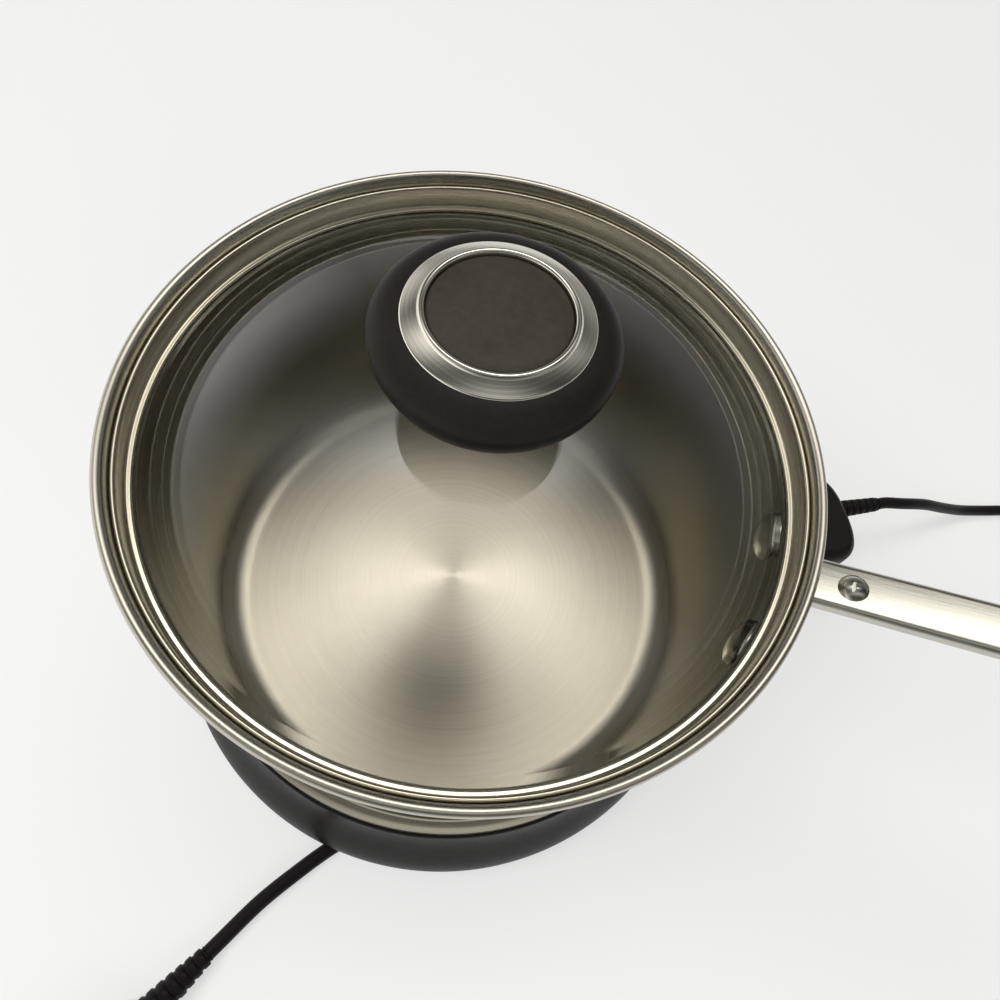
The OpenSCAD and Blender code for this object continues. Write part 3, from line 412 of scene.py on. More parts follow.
def oval(cx, cz, wide, high, start, end, steps):
    """Points along an oval, angles in degrees."""
    angles = [math.radians(start + (end - start) * k / steps) for k in range(steps + 1)]
    return [(cx + wide * math.cos(angle), cz + high * math.sin(angle)) for angle in angles]


def arc(cx, cz, radius, start, end, steps):
    """Points along an arc, angles in degrees."""
    return oval(cx, cz, radius, radius, start, end, steps)


def spun(profile, closed=False, steps=192):
    """A solid of revolution round Z from (radius, height) points."""
    bm = bmesh.new()
    points = [bm.verts.new((radius, 0.0, height)) for radius, height in profile]
    edges = [bm.edges.new(pair) for pair in zip(points, points[1:])]
    if closed:
        edges.append(bm.edges.new((points[-1], points[0])))
    bmesh.ops.spin(
        bm, geom=points + edges, cent=(0, 0, 0), axis=(0, 0, 1), angle=math.tau,
        steps=steps, use_merge=True,
    )
    bmesh.ops.remove_doubles(bm, verts=bm.verts, dist=1e-7)
    bmesh.ops.recalc_face_normals(bm, faces=bm.faces)
    return bm


def lofted(rings):
    """A closed solid through a row of rings with as many points each."""
    bm = bmesh.new()
    loops = []
    for ring in rings:
        points = [bm.verts.new(point) for point in ring]
        loops.append([bm.edges.new(pair) for pair in zip(points, points[1:] + points[:1])])
    for first, second in zip(loops, loops[1:]):
        bmesh.ops.bridge_loops(bm, edges=first + second)
    for loop in (loops[0], loops[-1]):
        bmesh.ops.edgeloop_fill(bm, edges=loop)
    bmesh.ops.recalc_face_normals(bm, faces=bm.faces)
    return bm


def placed(bm, matrix):
    """Moves a mesh to its place."""
    bmesh.ops.transform(bm, matrix=matrix, verts=bm.verts)
    return bm


def mesh_of(name, bm):
    """Makes a mesh of a shape and lets the shape go."""
    mesh = bpy.data.meshes.new(name)
    bm.to_mesh(mesh)
    bm.free()
    return mesh


def shown(name, data):
    """Puts a new object into the scene."""
    made = bpy.data.objects.new(name, data)
    bpy.context.scene.collection.objects.link(made)
    return made


def joined(first, second):
    """Adds the second mesh to the first."""
    spare = mesh_of("spare", second)
    first.from_mesh(spare)
    bpy.data.meshes.remove(spare)
    return first


def piece(name, bm, body, material, stands_for, crease=35.0):
    """Makes an object that rides on a body in place of the solids that it stands for."""
    mesh = mesh_of(name, bm)
    mesh.shade_smooth()
    mesh.set_sharp_from_angle(angle=math.radians(crease))
    mesh.materials.append(material)
    made = shown(name, mesh)
    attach(made, body)
    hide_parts(*stands_for)
    return made


def carved(target, shape):
    """Cuts a shape out of an object."""
    cutter = shown("cutter", mesh_of("cutter", shape))
    cut = target.modifiers.new("cut", "BOOLEAN")
    cut.operation = "DIFFERENCE"
    cut.solver = "EXACT"
    cut.object = cutter
    bpy.context.view_layer.update()
    result = bpy.data.meshes.new_from_object(
        target.evaluated_get(bpy.context.evaluated_depsgraph_get())
    )
    target.modifiers.remove(cut)
    spare = [target.data, cutter.data]
    target.data = result
    target.data.set_sharp_from_angle(angle=math.radians(30))
    bpy.data.objects.remove(cutter)
    for mesh in spare:
        bpy.data.meshes.remove(mesh)


def paint(material, *nodes):
    """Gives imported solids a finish."""
    for node in nodes:
        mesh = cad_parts[node].data
        mesh.materials.clear()
        mesh.materials.append(material)


def settings():
    """The sizes and colours in the sidebar."""
    return bpy.context.scene.hot_pot


def control_turn():
    """Turns +X to the direction in which the control plugs in."""
    return Matrix.Rotation(settings().control.turn, 4, "Z")


def to_x():
    """Turns +Z to +X."""
    return Matrix.Rotation(math.pi / 2, 4, "Y")


class Build:
    """What every operator of this file shares."""

    bl_options = {"REGISTER", "UNDO"}


# --- camera and cord


class HOTPOT_OT_camera(Build, bpy.types.Operator):
    """Place the camera above the pot, a little to the near side"""

    bl_idname = "hotpot.camera"
    bl_label = "Camera"

    def execute(self, context):
        data = bpy.data.cameras.new("camera")
        data.lens = 25.2
        data.sensor_width = 36.0
        data.clip_start = 0.01
        camera = shown("camera", data)
        # Place and turn come from the circles of the rim, the band, the floor and the knob
        right = Vector((0.9143, 0.3867, 0.1207))
        down = Vector((0.3989, -0.8074, -0.4349))
        ahead = Vector((-0.0707, 0.4457, -0.8924))
        turn = Matrix((right, -down, -ahead)).transposed()
        eye = Matrix.Translation((0.0263, -0.0986, 0.3089))
        camera.matrix_world = eye @ turn.to_4x4()
        context.scene.camera = camera
        return {"FINISHED"}


# The cord's route, as in the solids: round points given in millimetres
ROUTE = [
    (182, 128, 27), (196, 137, 22), (210, 146, 14), (224, 155, 7), (239, 164, 3.4),
    (255, 172, 2.8), (272, 177, 2.8), (290, 176, 2.8), (305, 167, 2.8), (313, 152, 2.8),
    (312, 135, 2.8), (302, 121, 2.8), (287, 111, 2.8), (270, 105, 2.8), (252, 101, 2.8),
    (232, 97, 2.8), (211, 93, 2.8), (190, 90, 2.8), (170, 85, 2.8), (152, 75, 2.8),
    (136, 61, 2.8), (121, 44, 2.8), (107, 26, 2.8), (93, 8, 2.8), (79, -11, 2.8),
    (65, -30, 2.8), (51, -49, 2.8), (37, -67, 2.8), (24, -84, 2.8), (11, -99, 2.8),
    (1, -112, 2.8), (-7, -125, 2.8), (-14, -138, 2.8), (-19, -149, 2.9),
]
# Where the cord leaves the control, to the side of its middle line and above the table
RELIEF_V = 0.0055
RELIEF_Z = 0.028
PLUG_AT = Vector((-0.022, -0.158, 0.0039))
PLUG_HEADING = math.radians(249)
PLUG_PITCH = math.radians(8)
PLUG_WAY = Vector((
    math.cos(PLUG_HEADING) * math.cos(PLUG_PITCH),
    math.sin(PLUG_HEADING) * math.cos(PLUG_PITCH),
    math.sin(PLUG_PITCH),
))


def cord_path():
    """The cord's middle line, a smooth curve that runs into the plug without the last point."""
    sizes = settings()
    thick = sizes.cord.thickness
    end = sizes.control.end + sizes.cord.relief_len
    start = control_turn() @ Vector((end, RELIEF_V, RELIEF_Z))
    lead = control_turn() @ Vector((end + thick, RELIEF_V, RELIEF_Z))
    points = [start, lead, *(Vector(point) * 0.001 for point in ROUTE[:-1]),
              PLUG_AT - PLUG_WAY * thick, PLUG_AT]
    last = len(points) - 1
    path = []
    for k in range(last):
        before, here = points[max(0, k - 1)], points[k]
        there, after = points[k + 1], points[min(last, k + 2)]
        for step in range(sizes.cord.sides):
            t = step / sizes.cord.sides
            path.append(0.5 * (
                2 * here + (there - before) * t
                + (2 * before - 5 * here + 4 * there - after) * t * t
                + (3 * here - before - 3 * there + after) * t ** 3
            ))
    return path + [PLUG_AT.copy()]


def plug_place():
    """Turns +Z to run on from the cord's end into the plug."""
    return (
        Matrix.Translation(PLUG_AT)
        @ Matrix.Rotation(PLUG_HEADING, 4, "Z")
        @ Matrix.Rotation(math.pi / 2 - PLUG_PITCH, 4, "Y")
    )


def ribbed(core, root, long, ribs):
    """Outline of a tapered and ribbed strain relief, its root at height 0."""
    pitch = long / ribs
    line = [(0.0, 0.0)]
    for k in range(ribs):
        outer = root + (core + 0.0007 - root) * k / (ribs - 1)
        low = pitch * k
        line += [
            (outer - 0.00025, low), (outer, low + 0.0003), (outer, low + pitch * 0.62),
            (outer - 0.0002, low + pitch * 0.70), (outer - 0.0007, low + pitch * 0.74),
            (outer - 0.0007, low + pitch * 0.94),
        ]
    return line + [(core + 0.0004, long), (0.0, long)]


def superoval(height, wide, high, power, steps):
    """Points round a rounded box, all at one height."""
    ring = []
    for k in range(steps):
        angle = math.tau * k / steps
        x, y = math.sin(angle), math.cos(angle)
        ring.append((
            high * math.copysign(abs(x) ** power, x),
            wide * math.copysign(abs(y) ** power, y),
            height,
        ))
    return ring


class HOTPOT_OT_cord(Build, bpy.types.Operator):
    """Lay the cord with its strain reliefs and its plug"""

    bl_idname = "hotpot.cord"
    bl_label = "Cord and Plug"

    def plug_body(self, sizes):
        """The plug's body: it widens from the cord, has a waist to hold and a blunt end."""
        half_w, half_h, last = 0.011, 0.0076, 26
        rings = []
        for k in range(last + 1):
            t = k / last
            waist = 1 - 0.13 * math.sin(math.pi * min(1.0, max(0.0, t - 0.25) / 0.6)) ** 2
            ends = 1.0 if 0 < k < last else 0.9
            wide = half_w * (0.62 + 0.38 * math.sin(math.pi / 2 * min(1.0, t * 3.2))) * waist
            high = half_h * (0.72 + 0.28 * math.sin(math.pi / 2 * min(1.0, t * 2.6)))
            place = sizes.plug_relief_len + sizes.plug_len * t
            rings.append(superoval(place, wide * ends, high * ends, 0.62, 56))
        return lofted(rings)

    def execute(self, context):
        sizes = settings().cord
        radius = sizes.thickness / 2
        jacket = moulding("cord_jacket", settings().finish.cord, 0.42, 1500.0, 0.12)
        path = cord_path()
        curve = bpy.data.curves.new("power_cord", "CURVE")
        curve.dimensions = "3D"
        curve.bevel_depth = radius
        curve.bevel_resolution = 5
        curve.use_fill_caps = True
        spline = curve.splines.new("POLY")
        spline.points.add(len(path) - 1)
        for point, place in zip(spline.points, path):
            point.co = (*place, 1.0)
        curve.materials.append(jacket)
        cord = shown("power_cord", curve)
        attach(cord, "control")
        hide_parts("cord")
        plug_side = placed(
            spun(ribbed(radius, 0.0055, sizes.plug_relief_len, 7), steps=64),
            plug_place() @ Matrix.Translation((0, 0, sizes.plug_relief_len))
            @ Matrix.Rotation(math.pi, 4, "X"),
        )
        relief = piece("plug_strain_relief", plug_side, "control", jacket,
                       ["plug_relief"], 40)
        sunk = 0.0016
        root = Matrix.Translation((settings().control.end - sunk, RELIEF_V, RELIEF_Z))
        control_side = placed(
            spun(ribbed(radius, radius + 0.0015, sizes.relief_len + sunk, 7), steps=64),
            control_turn() @ root @ to_x(),
        )
        gland = piece("control_strain_relief", control_side, "control", jacket,
                      ["cord_relief"], 40)
        plug = piece("plug_moulding", placed(self.plug_body(sizes), plug_place()), "control",
                     jacket, ["plug_body"], 40)
        paint(plain_steel("plug_brass", settings().finish.brass, 0.3), "plug_blades")
        return {"FINISHED"}


# --- pot and handle


class HOTPOT_OT_pot(Build, bpy.types.Operator):
    """Spin the steel pot with the step for the lid and the rolled rim"""

    bl_idname = "hotpot.pot"
    bl_label = "Pot"

    def execute(self, context):
        pot, finish = settings().pot, settings().finish
        bend = pot.wall_t + 0.0003
        nook = 0.0005
        seat_r = pot.wall_r + pot.seat_w
        mouth_r = seat_r + pot.flare
        bead_z = pot.rim_z - pot.bead_r

        def sheet(depth):
            """One face of the drawn steel, at a depth under the inner one."""
            under, corner = pot.floor_z - depth, pot.corner_r + depth
            return (
                [(0.0, under), (0.03, under), (0.06, under)]
                + arc(pot.wall_r - pot.corner_r, pot.floor_z + pot.corner_r, corner, -90, 0, 16)
                + arc(pot.wall_r + bend, pot.seat_z - bend, bend - depth, 180, 90, 6)
                + arc(seat_r - nook, pot.seat_z + nook, nook + depth, -90, -4, 6)
            )

        turn = -math.degrees(math.acos((pot.wall_t - pot.bead_r) / pot.bead_r))
        line = sheet(0.0) + arc(mouth_r + pot.bead_r, bead_z, pot.bead_r, 180, turn, 24)
        line += sheet(pot.wall_t)[::-1]
        steel = pot_steel(finish.pot_steel, finish.floor_steel_painted_light, finish.shell_steel, pot.floor_z,
                          pot.wall_r)
        piece("pot_shell", spun(line, steps=256), "base", steel, ["pot"], 50)
        return {"FINISHED"}


def strap_z(x):
    """Height of the strap's upper face: a straight rise that starts to level out at the grip."""
    handle = settings().handle
    start_z, slope, curve = 0.1434, 0.33, 2.5
    past = max(0.0, x - (handle.grip_x - 0.002))
    return start_z + slope * (x - handle.start_x) - curve * past ** 2


class HOTPOT_OT_handle(Build, bpy.types.Operator):
    """Make the strap, its rivets and screws, and the grip"""

    bl_idname = "hotpot.handle"
    bl_label = "Handle"

    def strap(self, handle):
        """A pressed channel: the section is carried along the strap's curve."""
        half, edge, wall, bend = handle.strap_w / 2, handle.strap_edge, handle.strap_t, 0.002
        near, far = bend - half, half - bend
        section = [(-half, -edge)] + arc(near, -bend, bend, 180, 90, 6)
        section += arc(far, -bend, bend, 90, 0, 6) + [(half, -edge)]
        section += [(half - wall, -edge)] + arc(far, -bend, bend - wall, 0, 90, 4)
        section += arc(near, -bend, bend - wall, 90, 180, 4) + [(wall - half, -edge)]
        reach, steps = handle.grip_x + 0.025 - handle.start_x, 32
        rings = []
        for k in range(steps + 1):
            x = handle.start_x + reach * k / steps
            rings.append([(x, y, strap_z(x) + z) for y, z in section])
        return lofted(rings)

    def grip(self, handle):
        """A flattened bar that swells in its middle, levels out and has rounded ends."""
        stations = [0, 0.004, 0.012, 0.03, 0.06] + [0.1 + 0.05 * k for k in range(17)]
        stations += [0.92, 0.94, 0.955, 0.97, 0.98, 0.99, 0.996, 1.0]
        rings = []
        for t in stations:
            ends = 1.0
            if t > 0.9:
                ends = 0.65 + 0.35 * math.sqrt(max(0.0, 1 - ((t - 0.9) / 0.11) ** 2))
            if t < 0.03:
                ends *= 0.88 + 0.12 * math.sqrt(t / 0.03)
            if t > 0.97:
                ends *= 0.82 + 0.18 * math.sqrt(max(0.0, 1 - ((t - 0.97) / 0.03) ** 2))
            swell = math.sin(math.pi * min(1, t * 0.8 + 0.1))
            wide = handle.grip_w / 2 * (0.84 + 0.16 * swell)
            high = handle.grip_h / 2 * (1 - 0.22 * t * t)
            rise = handle.grip_len * (0.28 * t - 0.14 * t * t)
            middle = strap_z(handle.grip_x) - 0.0024 + rise
            rings.append([
                (handle.grip_x + handle.grip_len * t, y * ends, middle + z * ends)
                for z, y, _ in superoval(0, wide, high, 0.66, 64)
            ])
        return lofted(rings)

    def rivets(self, handle, pot):
        """Two domed rivets, each with a wide head inside the pot and a small one outside."""
        inside, rim, tail_r, tail_z = -pot.wall_t, 0.0004, 0.0045, 0.0022
        inner = [(0.0, inside), (handle.rivet_r, inside), (handle.rivet_r, inside - rim)]
        inner += oval(0, inside - rim, handle.rivet_r, 0.0026, 0, -90, 12)[1:]
        outer = [(0.0, 0.0015), (tail_r, 0.0015), (tail_r, tail_z)]
        outer += oval(0, tail_z, tail_r, 0.0006, 0, 90, 6)[1:]
        heads = None
        for angle in (-11.2, 11.2):
            place = (
                Matrix.Rotation(math.radians(angle), 4, "Z")
                @ Matrix.Translation((pot.wall_r + pot.wall_t, 0, handle.rivet_z)) @ to_x()
            )
            for line in (inner, outer):
                head = placed(spun(line, steps=64), place)
                heads = head if heads is None else joined(heads, head)
        return heads

    def execute(self, context):
        handle, finish = settings().handle, settings().finish
        steel = plain_steel("strap_steel", finish.fitting_steel, 0.28, (2.0, 40.0, 2.0))
        piece("strap", self.strap(handle), "base", steel, ["handle_strap"], 30)
        black = moulding("grip_moulding", finish.grip, 0.45, 700.0, 0.3)
        grip = piece("grip", self.grip(handle), "base", black, ["handle_grip"],
                     40)
        hang_x = handle.grip_x + handle.grip_len - 0.012
        low, high = 0.12, 0.22
        hole = spun([(0.0, low), (handle.hang_r, low), (handle.hang_r, high), (0.0, high)],
                    steps=48)
        carved(grip, placed(hole, Matrix.Translation((hang_x, 0, 0))))
        domed = plain_steel("rivet_steel", finish.fitting_steel, 0.22, (6.0, 6.0, 6.0))
        piece("rivets", self.rivets(handle, settings().pot), "base", domed, ["handle_rivets"],
              40)
        paint(domed, "handle_screw", "handle_nut", "grip_screw", "handle_bracket")
        return {"FINISHED"}


# --- lid


class HOTPOT_OT_lid(Build, bpy.types.Operator):
    """Spin the domed glass and its steel band"""

    bl_idname = "hotpot.lid"
    bl_label = "Lid"

    def glass(self, lid, land, glass_z, glass_r):
        """The domed glass, with a hole for the knob's screw and a flat edge in the band."""
        lip_z = glass_z + lid.glass_t
        dome_r = (land ** 2 + lid.dome_rise ** 2) / (2 * lid.dome_rise)
        centre = lip_z + lid.dome_rise - dome_r
        inside = dome_r - lid.glass_t
        hole_r, steps = 0.0042, 40

        def at(radius, r):
            """The point of a dome at a distance from the axis."""
            return (r, centre + math.sqrt(radius * radius - r * r))

        foot_r = math.sqrt(inside ** 2 - (glass_z - centre) ** 2)
        line = [at(dome_r, hole_r + (land - hole_r) * k / steps) for k in range(steps + 1)]
        line += [(glass_r, lip_z), (glass_r, glass_z)]
        line += [at(inside, foot_r - (foot_r - hole_r) * k / steps) for k in range(steps + 1)]
        return spun(line, True, 256)

    def band(self, lid, pot, land, glass_z, glass_r):
        """The steel band: flared like the pot's mouth, its lip folded over the glass."""
        seat, foot, roll, bend, lip = pot.seat_z, 0.0005, 0.00065, 0.0007, 0.0004
        lip_z = glass_z + lid.glass_t
        lip_top, lip_r = lip_z + lid.band_t, lid.edge_r - lid.lip_w
        slope = pot.flare / (pot.rim_z - pot.bead_r - seat)
        top_z = seat + lid.band_h
        top_r = lid.edge_r + slope * lid.band_h
        inner_foot = lid.edge_r + slope * (lid.glass_t + 0.003) - lid.band_t
        line = [(land - 0.0008, seat), (lid.edge_r - foot, seat), (lid.edge_r, seat + foot)]
        line += arc(top_r - roll, top_z - roll, roll, 0, 180, 12)
        line += [(top_r - 2 * roll + 0.0001, top_z - 2.4 * roll),
                 (inner_foot + 0.0002, lip_top + 0.0016)]
        line += arc(inner_foot - bend, lip_top + bend, bend, 0, -90, 5)
        line += arc(lip_r + lip, lip_top - lip, lip, 90, 180, 4)
        line += [(lip_r, lip_z), (glass_r, lip_z), (glass_r, glass_z), (land - 0.0008, glass_z)]
        return spun(line, True, 256)

    def execute(self, context):
        lid, pot, finish = settings().lid, settings().pot, settings().finish
        glass_z = pot.seat_z + lid.band_t
        glass_r = lid.edge_r - lid.band_t
        land = lid.edge_r - lid.lip_w - 0.0003
        piece("dome_glass", self.glass(lid, land, glass_z, glass_r), "lid",
              clear_glass("lid_glass", finish.glass), ["lid_glass"], 40)
        steel = turned_steel("band_steel", finish.band_steel, 0.26)
        piece("steel_band", self.band(lid, pot, land, glass_z, glass_r), "lid", steel,
              ["lid_band"], 40)
        paint(moulding("silicone", (0.16, 0.15, 0.14), 0.5), "lid_seals")
        paint(turned_steel("washer_steel", finish.fitting_steel, 0.25), "knob_washer",
              "knob_screw")
        return {"FINISHED"}


class HOTPOT_OT_knob(Build, bpy.types.Operator):
    """Spin the knob, its bright ring and its insert"""

    bl_idname = "hotpot.knob"
    bl_label = "Knob"

    def execute(self, context):
        knob, finish = settings().knob, settings().finish
        top, rim = knob.height, knob.insert_r
        seat_z, pocket_z, pocket_r = top - 0.0039, top - 0.0056, rim + 0.0006
        belly, lip = 0.0093, 0.0008
        side, middle = knob.radius - belly, top - 0.0083
        body = [(0.0, 0.0), (0.0124, 0.0), (0.013, 0.0006)]
        body += arc(0.0164, 0.0032, 0.0038, 196, 130, 8)
        body += oval(side, middle, belly, 0.0103, -72, 0, 24)
        body += oval(side, middle, belly, 0.0059, 4, 76, 20)
        body += [(knob.ring_r, top - 0.0026), (knob.ring_r, seat_z), (pocket_r, seat_z),
                 (pocket_r, pocket_z), (0.0, pocket_z)]
        up = Matrix.Translation((0, 0, knob.foot_z))
        black = moulding("knob_moulding", finish.knob, 0.42, 1100.0, 0.2)
        piece("knob", placed(spun(body), up), "lid", black, ["knob_body"])
        ring = [(rim, seat_z), (knob.ring_r, seat_z)]
        ring += arc(knob.ring_r - lip, top - 0.0029, lip, 0, 65, 6)
        ring += [(rim + 0.0017, top - lip)]
        ring += arc(rim + lip, top - lip, lip, 50, 180, 10)
        bright = turned_steel("ring_metal", finish.ring_metal, 0.17, 0.6)
        piece("bright_ring", placed(spun(ring, True), up), "lid", bright,
              ["knob_ring"])
        disc = [(0.0, pocket_z), (rim, pocket_z), (rim, top - 0.0017),
                (rim - 0.0002, top - 0.0013), (rim - 0.0007, top - 0.001),
                (rim * 0.6, top - 0.00105), (0.0, top - 0.0011)]
        dark = moulding("insert_moulding", finish.insert, 0.4, 500.0, 0.25)
        piece("knob_top", placed(spun(disc), up), "lid", dark, ["knob_insert"])
        return {"FINISHED"}


# --- base


class HOTPOT_OT_base(Build, bpy.types.Operator):
    """Make the black skirt, the bright deck and the underside's finishes"""

    bl_idname = "hotpot.base"
    bl_label = "Base"

    def execute(self, context):
        base, pot, finish = settings().base, settings().pot, settings().finish
        pot_out = pot.wall_r + pot.wall_t
        drop = base.top_z - base.foot_z

        def skirt_r(z):
            """Radius of the skirt at a height: it spreads smoothly from its top to its foot."""
            down = min(1.0, max(0.0, (base.top_z - z) / drop))
            return base.top_r + base.flare * down ** 2 * (3 - 2 * down)

        def side(inset, start, end, steps=40):
            """The skirt's side from one height to another, drawn in by inset."""
            heights = [start + (end - start) * k / steps for k in range(steps + 1)]
            return [(skirt_r(z) - inset, z) for z in heights]

        edge, neck_r, shelf_z = 0.002, pot_out + 0.0004, base.top_z - 0.003
        foot_r, foot_z, hem_z = base.top_r + base.flare, base.foot_z, base.foot_z + 0.001
        skirt = [(neck_r, shelf_z), (neck_r, base.top_z)]
        skirt += arc(base.top_r - edge, base.top_z - edge, edge, 90, 8, 6)
        skirt += side(0.0, shelf_z, hem_z)
        skirt += [(foot_r - 0.0003, foot_z + 0.0004), (foot_r - 0.001, foot_z),
                  (foot_r - base.wall, foot_z)]
        skirt += side(base.wall, hem_z, shelf_z)
        # Painted shade: the skirt gets a darker copy of the black moulding that the control and
        # dial share
        skirt_painted_shade = shade(finish.moulding, 0.6)
        black = moulding("skirt_moulding", skirt_painted_shade, 0.36, 600.0, 0.12, 0.0, 0.05)
        made = piece("skirt", spun(skirt, True, 256), "base", black, ["base_skirt"],
                     40)
        low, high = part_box("terminal_block")
        middle, half_w, half_h = (low.z + high.z) / 2, 0.0171, 0.0106
        corners = [(half_w, half_h), (-half_w, half_h), (-half_w, -half_h), (half_w, -half_h)]
        gap = lofted([[(u, v, middle + w) for v, w in corners] for u in (0.093, 0.125)])
        carved(made, placed(gap, control_turn()))
        deck = [(pot_out, base.top_z + 0.0056)]
        deck += arc(pot_out + 0.004, base.top_z + 0.004, 0.0032, 180, 270, 10)
        deck += [(base.top_r - inset, base.top_z + lift)
                 for inset, lift in ((0.0016, 0.0008), (0.0013, 0.0006), (0.0012, 0.0))]
        deck += [(pot_out, base.top_z)]
        steel = turned_steel("deck_steel", finish.band_steel, 0.22)
        piece("deck", spun(deck, True, 256), "base", steel, ["deck_ring"])
        paint(black, "socket_shroud", "bottom_plate")
        paint(moulding("foot_rubber", (0.03, 0.03, 0.03), 0.7), "base_feet")
        paint(moulding("socket_block", (0.07, 0.05, 0.035), 0.6), "terminal_block")
        paint(plain_steel("hidden_steel", finish.fitting_steel, 0.35), "foot_screws",
              "base_studs", "base_nuts", "terminal_pins", "probe_sleeve")
        paint(plain_steel("dull_aluminium", (0.6, 0.61, 0.62), 0.45), "heat_spreader",
              "heat_shield")
        paint(plain_steel("element_sheath", (0.2, 0.19, 0.18), 0.5), "heating_element")
        return {"FINISHED"}


# --- heat control


def control_outline(inset, steps=24):
    """The control in plan, drawn in by inset: waisted sides and a bowed end."""
    control = settings().control
    end_len, waist, steps_round = 0.014, 0.0026, 28
    far = control.end - end_len
    back = control.start + inset

    def half(u):
        """Half of the width at a distance from the pot's axis."""
        along = (u - control.start) / (far - control.start)
        return control.half_w - 0.0006 - waist * math.sin(math.pi * along) ** 2

    side = [control.start + (far - control.start) * k / steps for k in range(steps + 1)]
    line = [(max(u, back), inset - half(u)) for u in side]
    for k in range(1, steps_round):
        angle = -math.pi / 2 + math.pi * k / steps_round
        out, across = math.cos(angle), math.sin(angle)
        line.append((
            far + (end_len - inset) * out ** 0.75,
            (half(far) - inset) * math.copysign(abs(across) ** 0.75, across),
        ))
    return line + [(max(u, back), half(u) - inset) for u in side[::-1]]


class HOTPOT_OT_control(Build, bpy.types.Operator):
    """Make the two shells of the plug-in heat control and its lamp"""

    bl_idname = "hotpot.control"
    bl_label = "Heat Control"

    def execute(self, context):
        control, finish = settings().control, settings().finish
        low, split = control.under_z, control.split_z
        top = low + control.height
        black = moulding("control_moulding", finish.moulding, 0.34, 700.0, 0.14)
        # Each shell's rows: how far the outline is drawn in, and the height
        groove, shoulder = 0.0004, 0.006
        upper = [(groove, split), (groove, split + groove), (0.0, split + 2 * groove),
                 (0.0, top - 0.008), (0.00012, top - 0.0065)]
        for angle in (15, 30, 45, 60, 72, 82, 90):
            turn = math.radians(angle)
            inset = 0.005 - 0.00488 * math.cos(turn)
            upper.append((inset, top - shoulder + shoulder * math.sin(turn)))
        lower = [(0.0024, low), (0.0014, low + 0.0002), (0.0006, low + 0.0009),
                 (0.0001, low + 0.0018), (0.0, low + 0.003), (0.0, split - groove),
                 (groove, split)]
        for name, rows, node in (("upper_shell", upper, "control_upper"),
                                 ("lower_shell", lower, "control_lower")):
            rings = [[(u, v, z) for u, v in control_outline(inset)] for inset, z in rows]
            piece(name, placed(lofted(rings), control_turn()), "control", black, [node],
                  32)
        lens_r, sunk = 0.0026, -0.0052
        lens = [(0.0, sunk), (lens_r, sunk), (lens_r, 0.0)]
        lens += oval(0, 0.0, lens_r, 0.0012, 10, 90, 8)
        lens_at = control.dial_at + control.dial_r + 0.005
        place = control_turn() @ Matrix.Translation((lens_at, 0, top))
        glow = moulding("lamp_lens", finish.lens, 0.12, 300.0, 0.02, 0.6)
        piece("lamp_lens", placed(spun(lens, steps=48), place), "control", glow,
              ["pilot_lens"])
        paint(moulding("nose_moulding", (0.05, 0.042, 0.036), 0.5), "control_nose")
        brass = plain_steel("contact_brass", finish.brass, 0.3)
        paint(brass, "contact_sleeves", "thermostat", "dial_shaft")
        paint(plain_steel("rod_steel", finish.fitting_steel, 0.25, (4.0, 4.0, 4.0)),
              "probe_rod", "control_screws")
        return {"FINISHED"}


class HOTPOT_OT_dial(Build, bpy.types.Operator):
    """Make the fluted dial with its pointer"""

    bl_idname = "hotpot.dial"
    bl_label = "Dial"

    def execute(self, context):
        control, finish = settings().control, settings().finish
        foot_z = control.under_z + control.height + 0.0005
        steps, flutes, depth = 240, 24, 0.00055
        # Height, how far the side is drawn in, and the share of the flutes' depth
        rows = [
            (0.0, 0.0004, 0.0), (0.0003, 0.0, 0.0), (0.0020, 0.0, 0.0), (0.0024, 0.0005, 0.0),
            (0.0026, 0.0013, 0.3), (0.0032, 0.0016, 1.0), (0.0078, 0.0024, 1.0),
            (0.0083, 0.0028, 0.6), (0.0087, 0.0034, 0.2), (0.0090, 0.0044, 0.0),
            (0.00895, 0.0075, 0.0),
        ]
        rings = []
        for z, inset, flute in rows:
            ring = []
            for k in range(steps):
                angle = math.tau * k / steps
                dent = depth * (0.5 - 0.5 * math.cos(flutes * angle)) * flute
                r = control.dial_r - inset - dent
                ring.append((r * math.cos(angle), r * math.sin(angle), z))
            rings.append(ring)
        dial = lofted(rings)
        # Height, half width, and how far the pointer ends before the dial's side
        pointer = lofted([
            superoval(z, half, control.dial_r - short, 0.5, 40)
            for z, half, short in ((0.0088, 0.0015, 0.0052), (0.0102, 0.0013, 0.0055),
                                   (0.0107, 0.0009, 0.0062))
        ])
        place = control_turn() @ Matrix.Translation((control.dial_at, 0, foot_z))
        black = moulding("dial_moulding", finish.moulding, 0.38, 800.0, 0.16)
        piece("dial", placed(joined(dial, pointer), place), "dial", black, ["control_dial"],
              30)
        return {"FINISHED"}


# --- stage


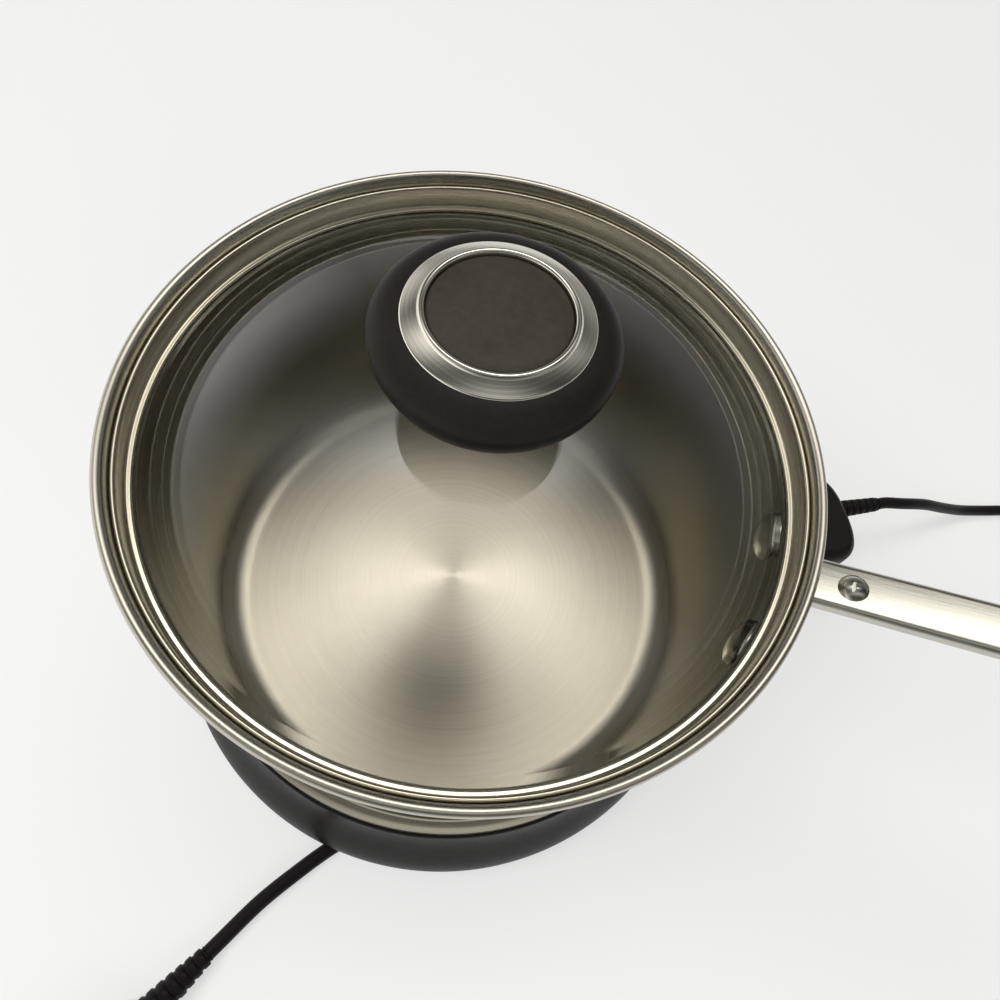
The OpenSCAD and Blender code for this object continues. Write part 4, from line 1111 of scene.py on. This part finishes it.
class HOTPOT_OT_stage(Build, bpy.types.Operator):
    """Lay the pale floor and set the soft lamps"""

    bl_idname = "hotpot.stage"
    bl_label = "Stage"

    def lamp(self, name, place, power):
        """A soft round lamp that isn't seen in the steel or through the glass."""
        data = bpy.data.lights.new(name, "AREA")
        data.shape = "DISK"
        data.size = 0.8
        data.energy = power
        made = shown(name, data)
        made.location = place
        made.rotation_mode = "QUATERNION"
        made.rotation_quaternion = (Vector((0, 0, 0.1)) - Vector(place)).to_track_quat("-Z", "Y")
        made.visible_glossy = False
        made.visible_transmission = False

    def floor(self):
        """A matt floor that keeps the shadows and looks pale to the eye, in steel and in glass."""
        bm = bmesh.new()
        bmesh.ops.create_grid(bm, x_segments=1, y_segments=1, size=6.0)
        mesh = mesh_of("floor", bm)
        finish = Finish("floor")
        tint = rgba(settings().finish.floor)
        matt = finish.node("ShaderNodeBsdfDiffuse", sockets={"Color": tint})
        rays = finish.node("ShaderNodeLightPath")
        ways = rays.socket.node.outputs
        seen = Wire(finish, ways["Is Camera Ray"]) + Wire(finish, ways["Is Glossy Ray"])
        seen = seen + Wire(finish, ways["Is Transmission Ray"])
        glow = finish.node("ShaderNodeEmission", sockets={"Color": (1, 1, 1, 1), "Strength": 1.0})
        own_light = 0.55
        both = finish.node("ShaderNodeMixShader", sockets={0: seen * own_light, 1: matt, 2: glow})
        mesh.materials.append(finish.close(both))
        shown("floor", mesh)

    def room(self, context):
        """A plain backdrop for the eye; all else is lit by low walls and soft light above."""
        world = bpy.data.worlds.new("soft_room")
        context.scene.world = world
        world.use_nodes = True
        sky = Finish("soft_room", world.node_tree)
        east, north, up = sky.parts(sky.place())
        # The room is turned with the camera: side runs to its right, depth away from it
        right, ahead, bell = 0.92, 0.39, 2.718
        side = east * right + north * ahead
        depth = north * right - east * ahead
        low = sky.spread(up, 0.2, 0.5, 1.0, 0.0) * sky.spread(side, -0.75, -0.3, 1.2, 0.25)
        walls = low + sky.spread(side, -0.9, 0.9, 0.09, 0.025)
        across, along, behind = (side - 0.06) / 0.5, (depth - 0.31) / 0.17, (depth + 0.42) / 0.16
        strip = bell ** (0 - across * across - along * along)
        strip = strip * sky.spread(side, 0.32, 0.6, 1.0, 0.35)
        rear = bell ** (0 - across * across * 0.4 - behind * behind)
        strip_light, rear_light, eye_light = 4.4, 0.65, 0.92
        above = sky.spread(up, 0.2, 0.5, 0.0, 1.0)
        soft = (strip * strip_light + rear * rear_light) * above + walls
        seen = sky.node("ShaderNodeLightPath", out="Is Camera Ray")
        level = seen * eye_light + (1 - seen) * soft
        warm = (1.0, 0.985, 0.95, 1)
        back = sky.node("ShaderNodeBackground", sockets={"Color": warm, "Strength": level})
        sky.node("ShaderNodeOutputWorld", sockets={"Surface": back})

    def execute(self, context):
        self.floor()
        self.room(context)
        self.lamp("key", (-0.7, -0.5, 1.3), 9.0)
        self.lamp("fill", (0.9, -0.7, 0.9), 3.0)
        context.scene.view_settings.view_transform = "Standard"
        return {"FINISHED"}


class HOTPOT_PT_pieces(bpy.types.Panel):
    """Lists the pieces and their sizes"""

    bl_idname = "HOTPOT_PT_pieces"
    bl_label = "Hot Pot"
    bl_space_type = "VIEW_3D"
    bl_region_type = "UI"
    bl_category = "Hot Pot"

    def draw(self, context):
        layout = self.layout
        for operator in OPERATORS:
            layout.operator(operator.bl_idname, text=operator.bl_label)
        for group in HotPotSettings.__annotations__:
            box = layout.box()
            box.label(text=group.title())
            values = getattr(context.scene.hot_pot, group)
            for name in type(values).__annotations__:
                box.prop(values, name)


GROUPS = (PotSizes, LidSizes, KnobSizes, HandleSizes, BaseSizes, ControlSizes, CordSizes,
          Finishes, HotPotSettings)
OPERATORS = (HOTPOT_OT_camera, HOTPOT_OT_cord, HOTPOT_OT_pot, HOTPOT_OT_handle, HOTPOT_OT_lid,
             HOTPOT_OT_knob, HOTPOT_OT_base, HOTPOT_OT_control, HOTPOT_OT_dial, HOTPOT_OT_stage)


def register():
    for item in (*GROUPS, *OPERATORS, HOTPOT_PT_pieces):
        bpy.utils.register_class(item)
    bpy.types.Scene.hot_pot = PointerProperty(type=HotPotSettings)


def unregister():
    del bpy.types.Scene.hot_pot
    for item in (HOTPOT_PT_pieces, *reversed(OPERATORS), *reversed(GROUPS)):
        bpy.utils.unregister_class(item)


def main():
    register()
    for operator in OPERATORS:
        group, name = operator.bl_idname.split(".")
        getattr(getattr(bpy.ops, group), name)()


if __name__ == "__main__":
    main()
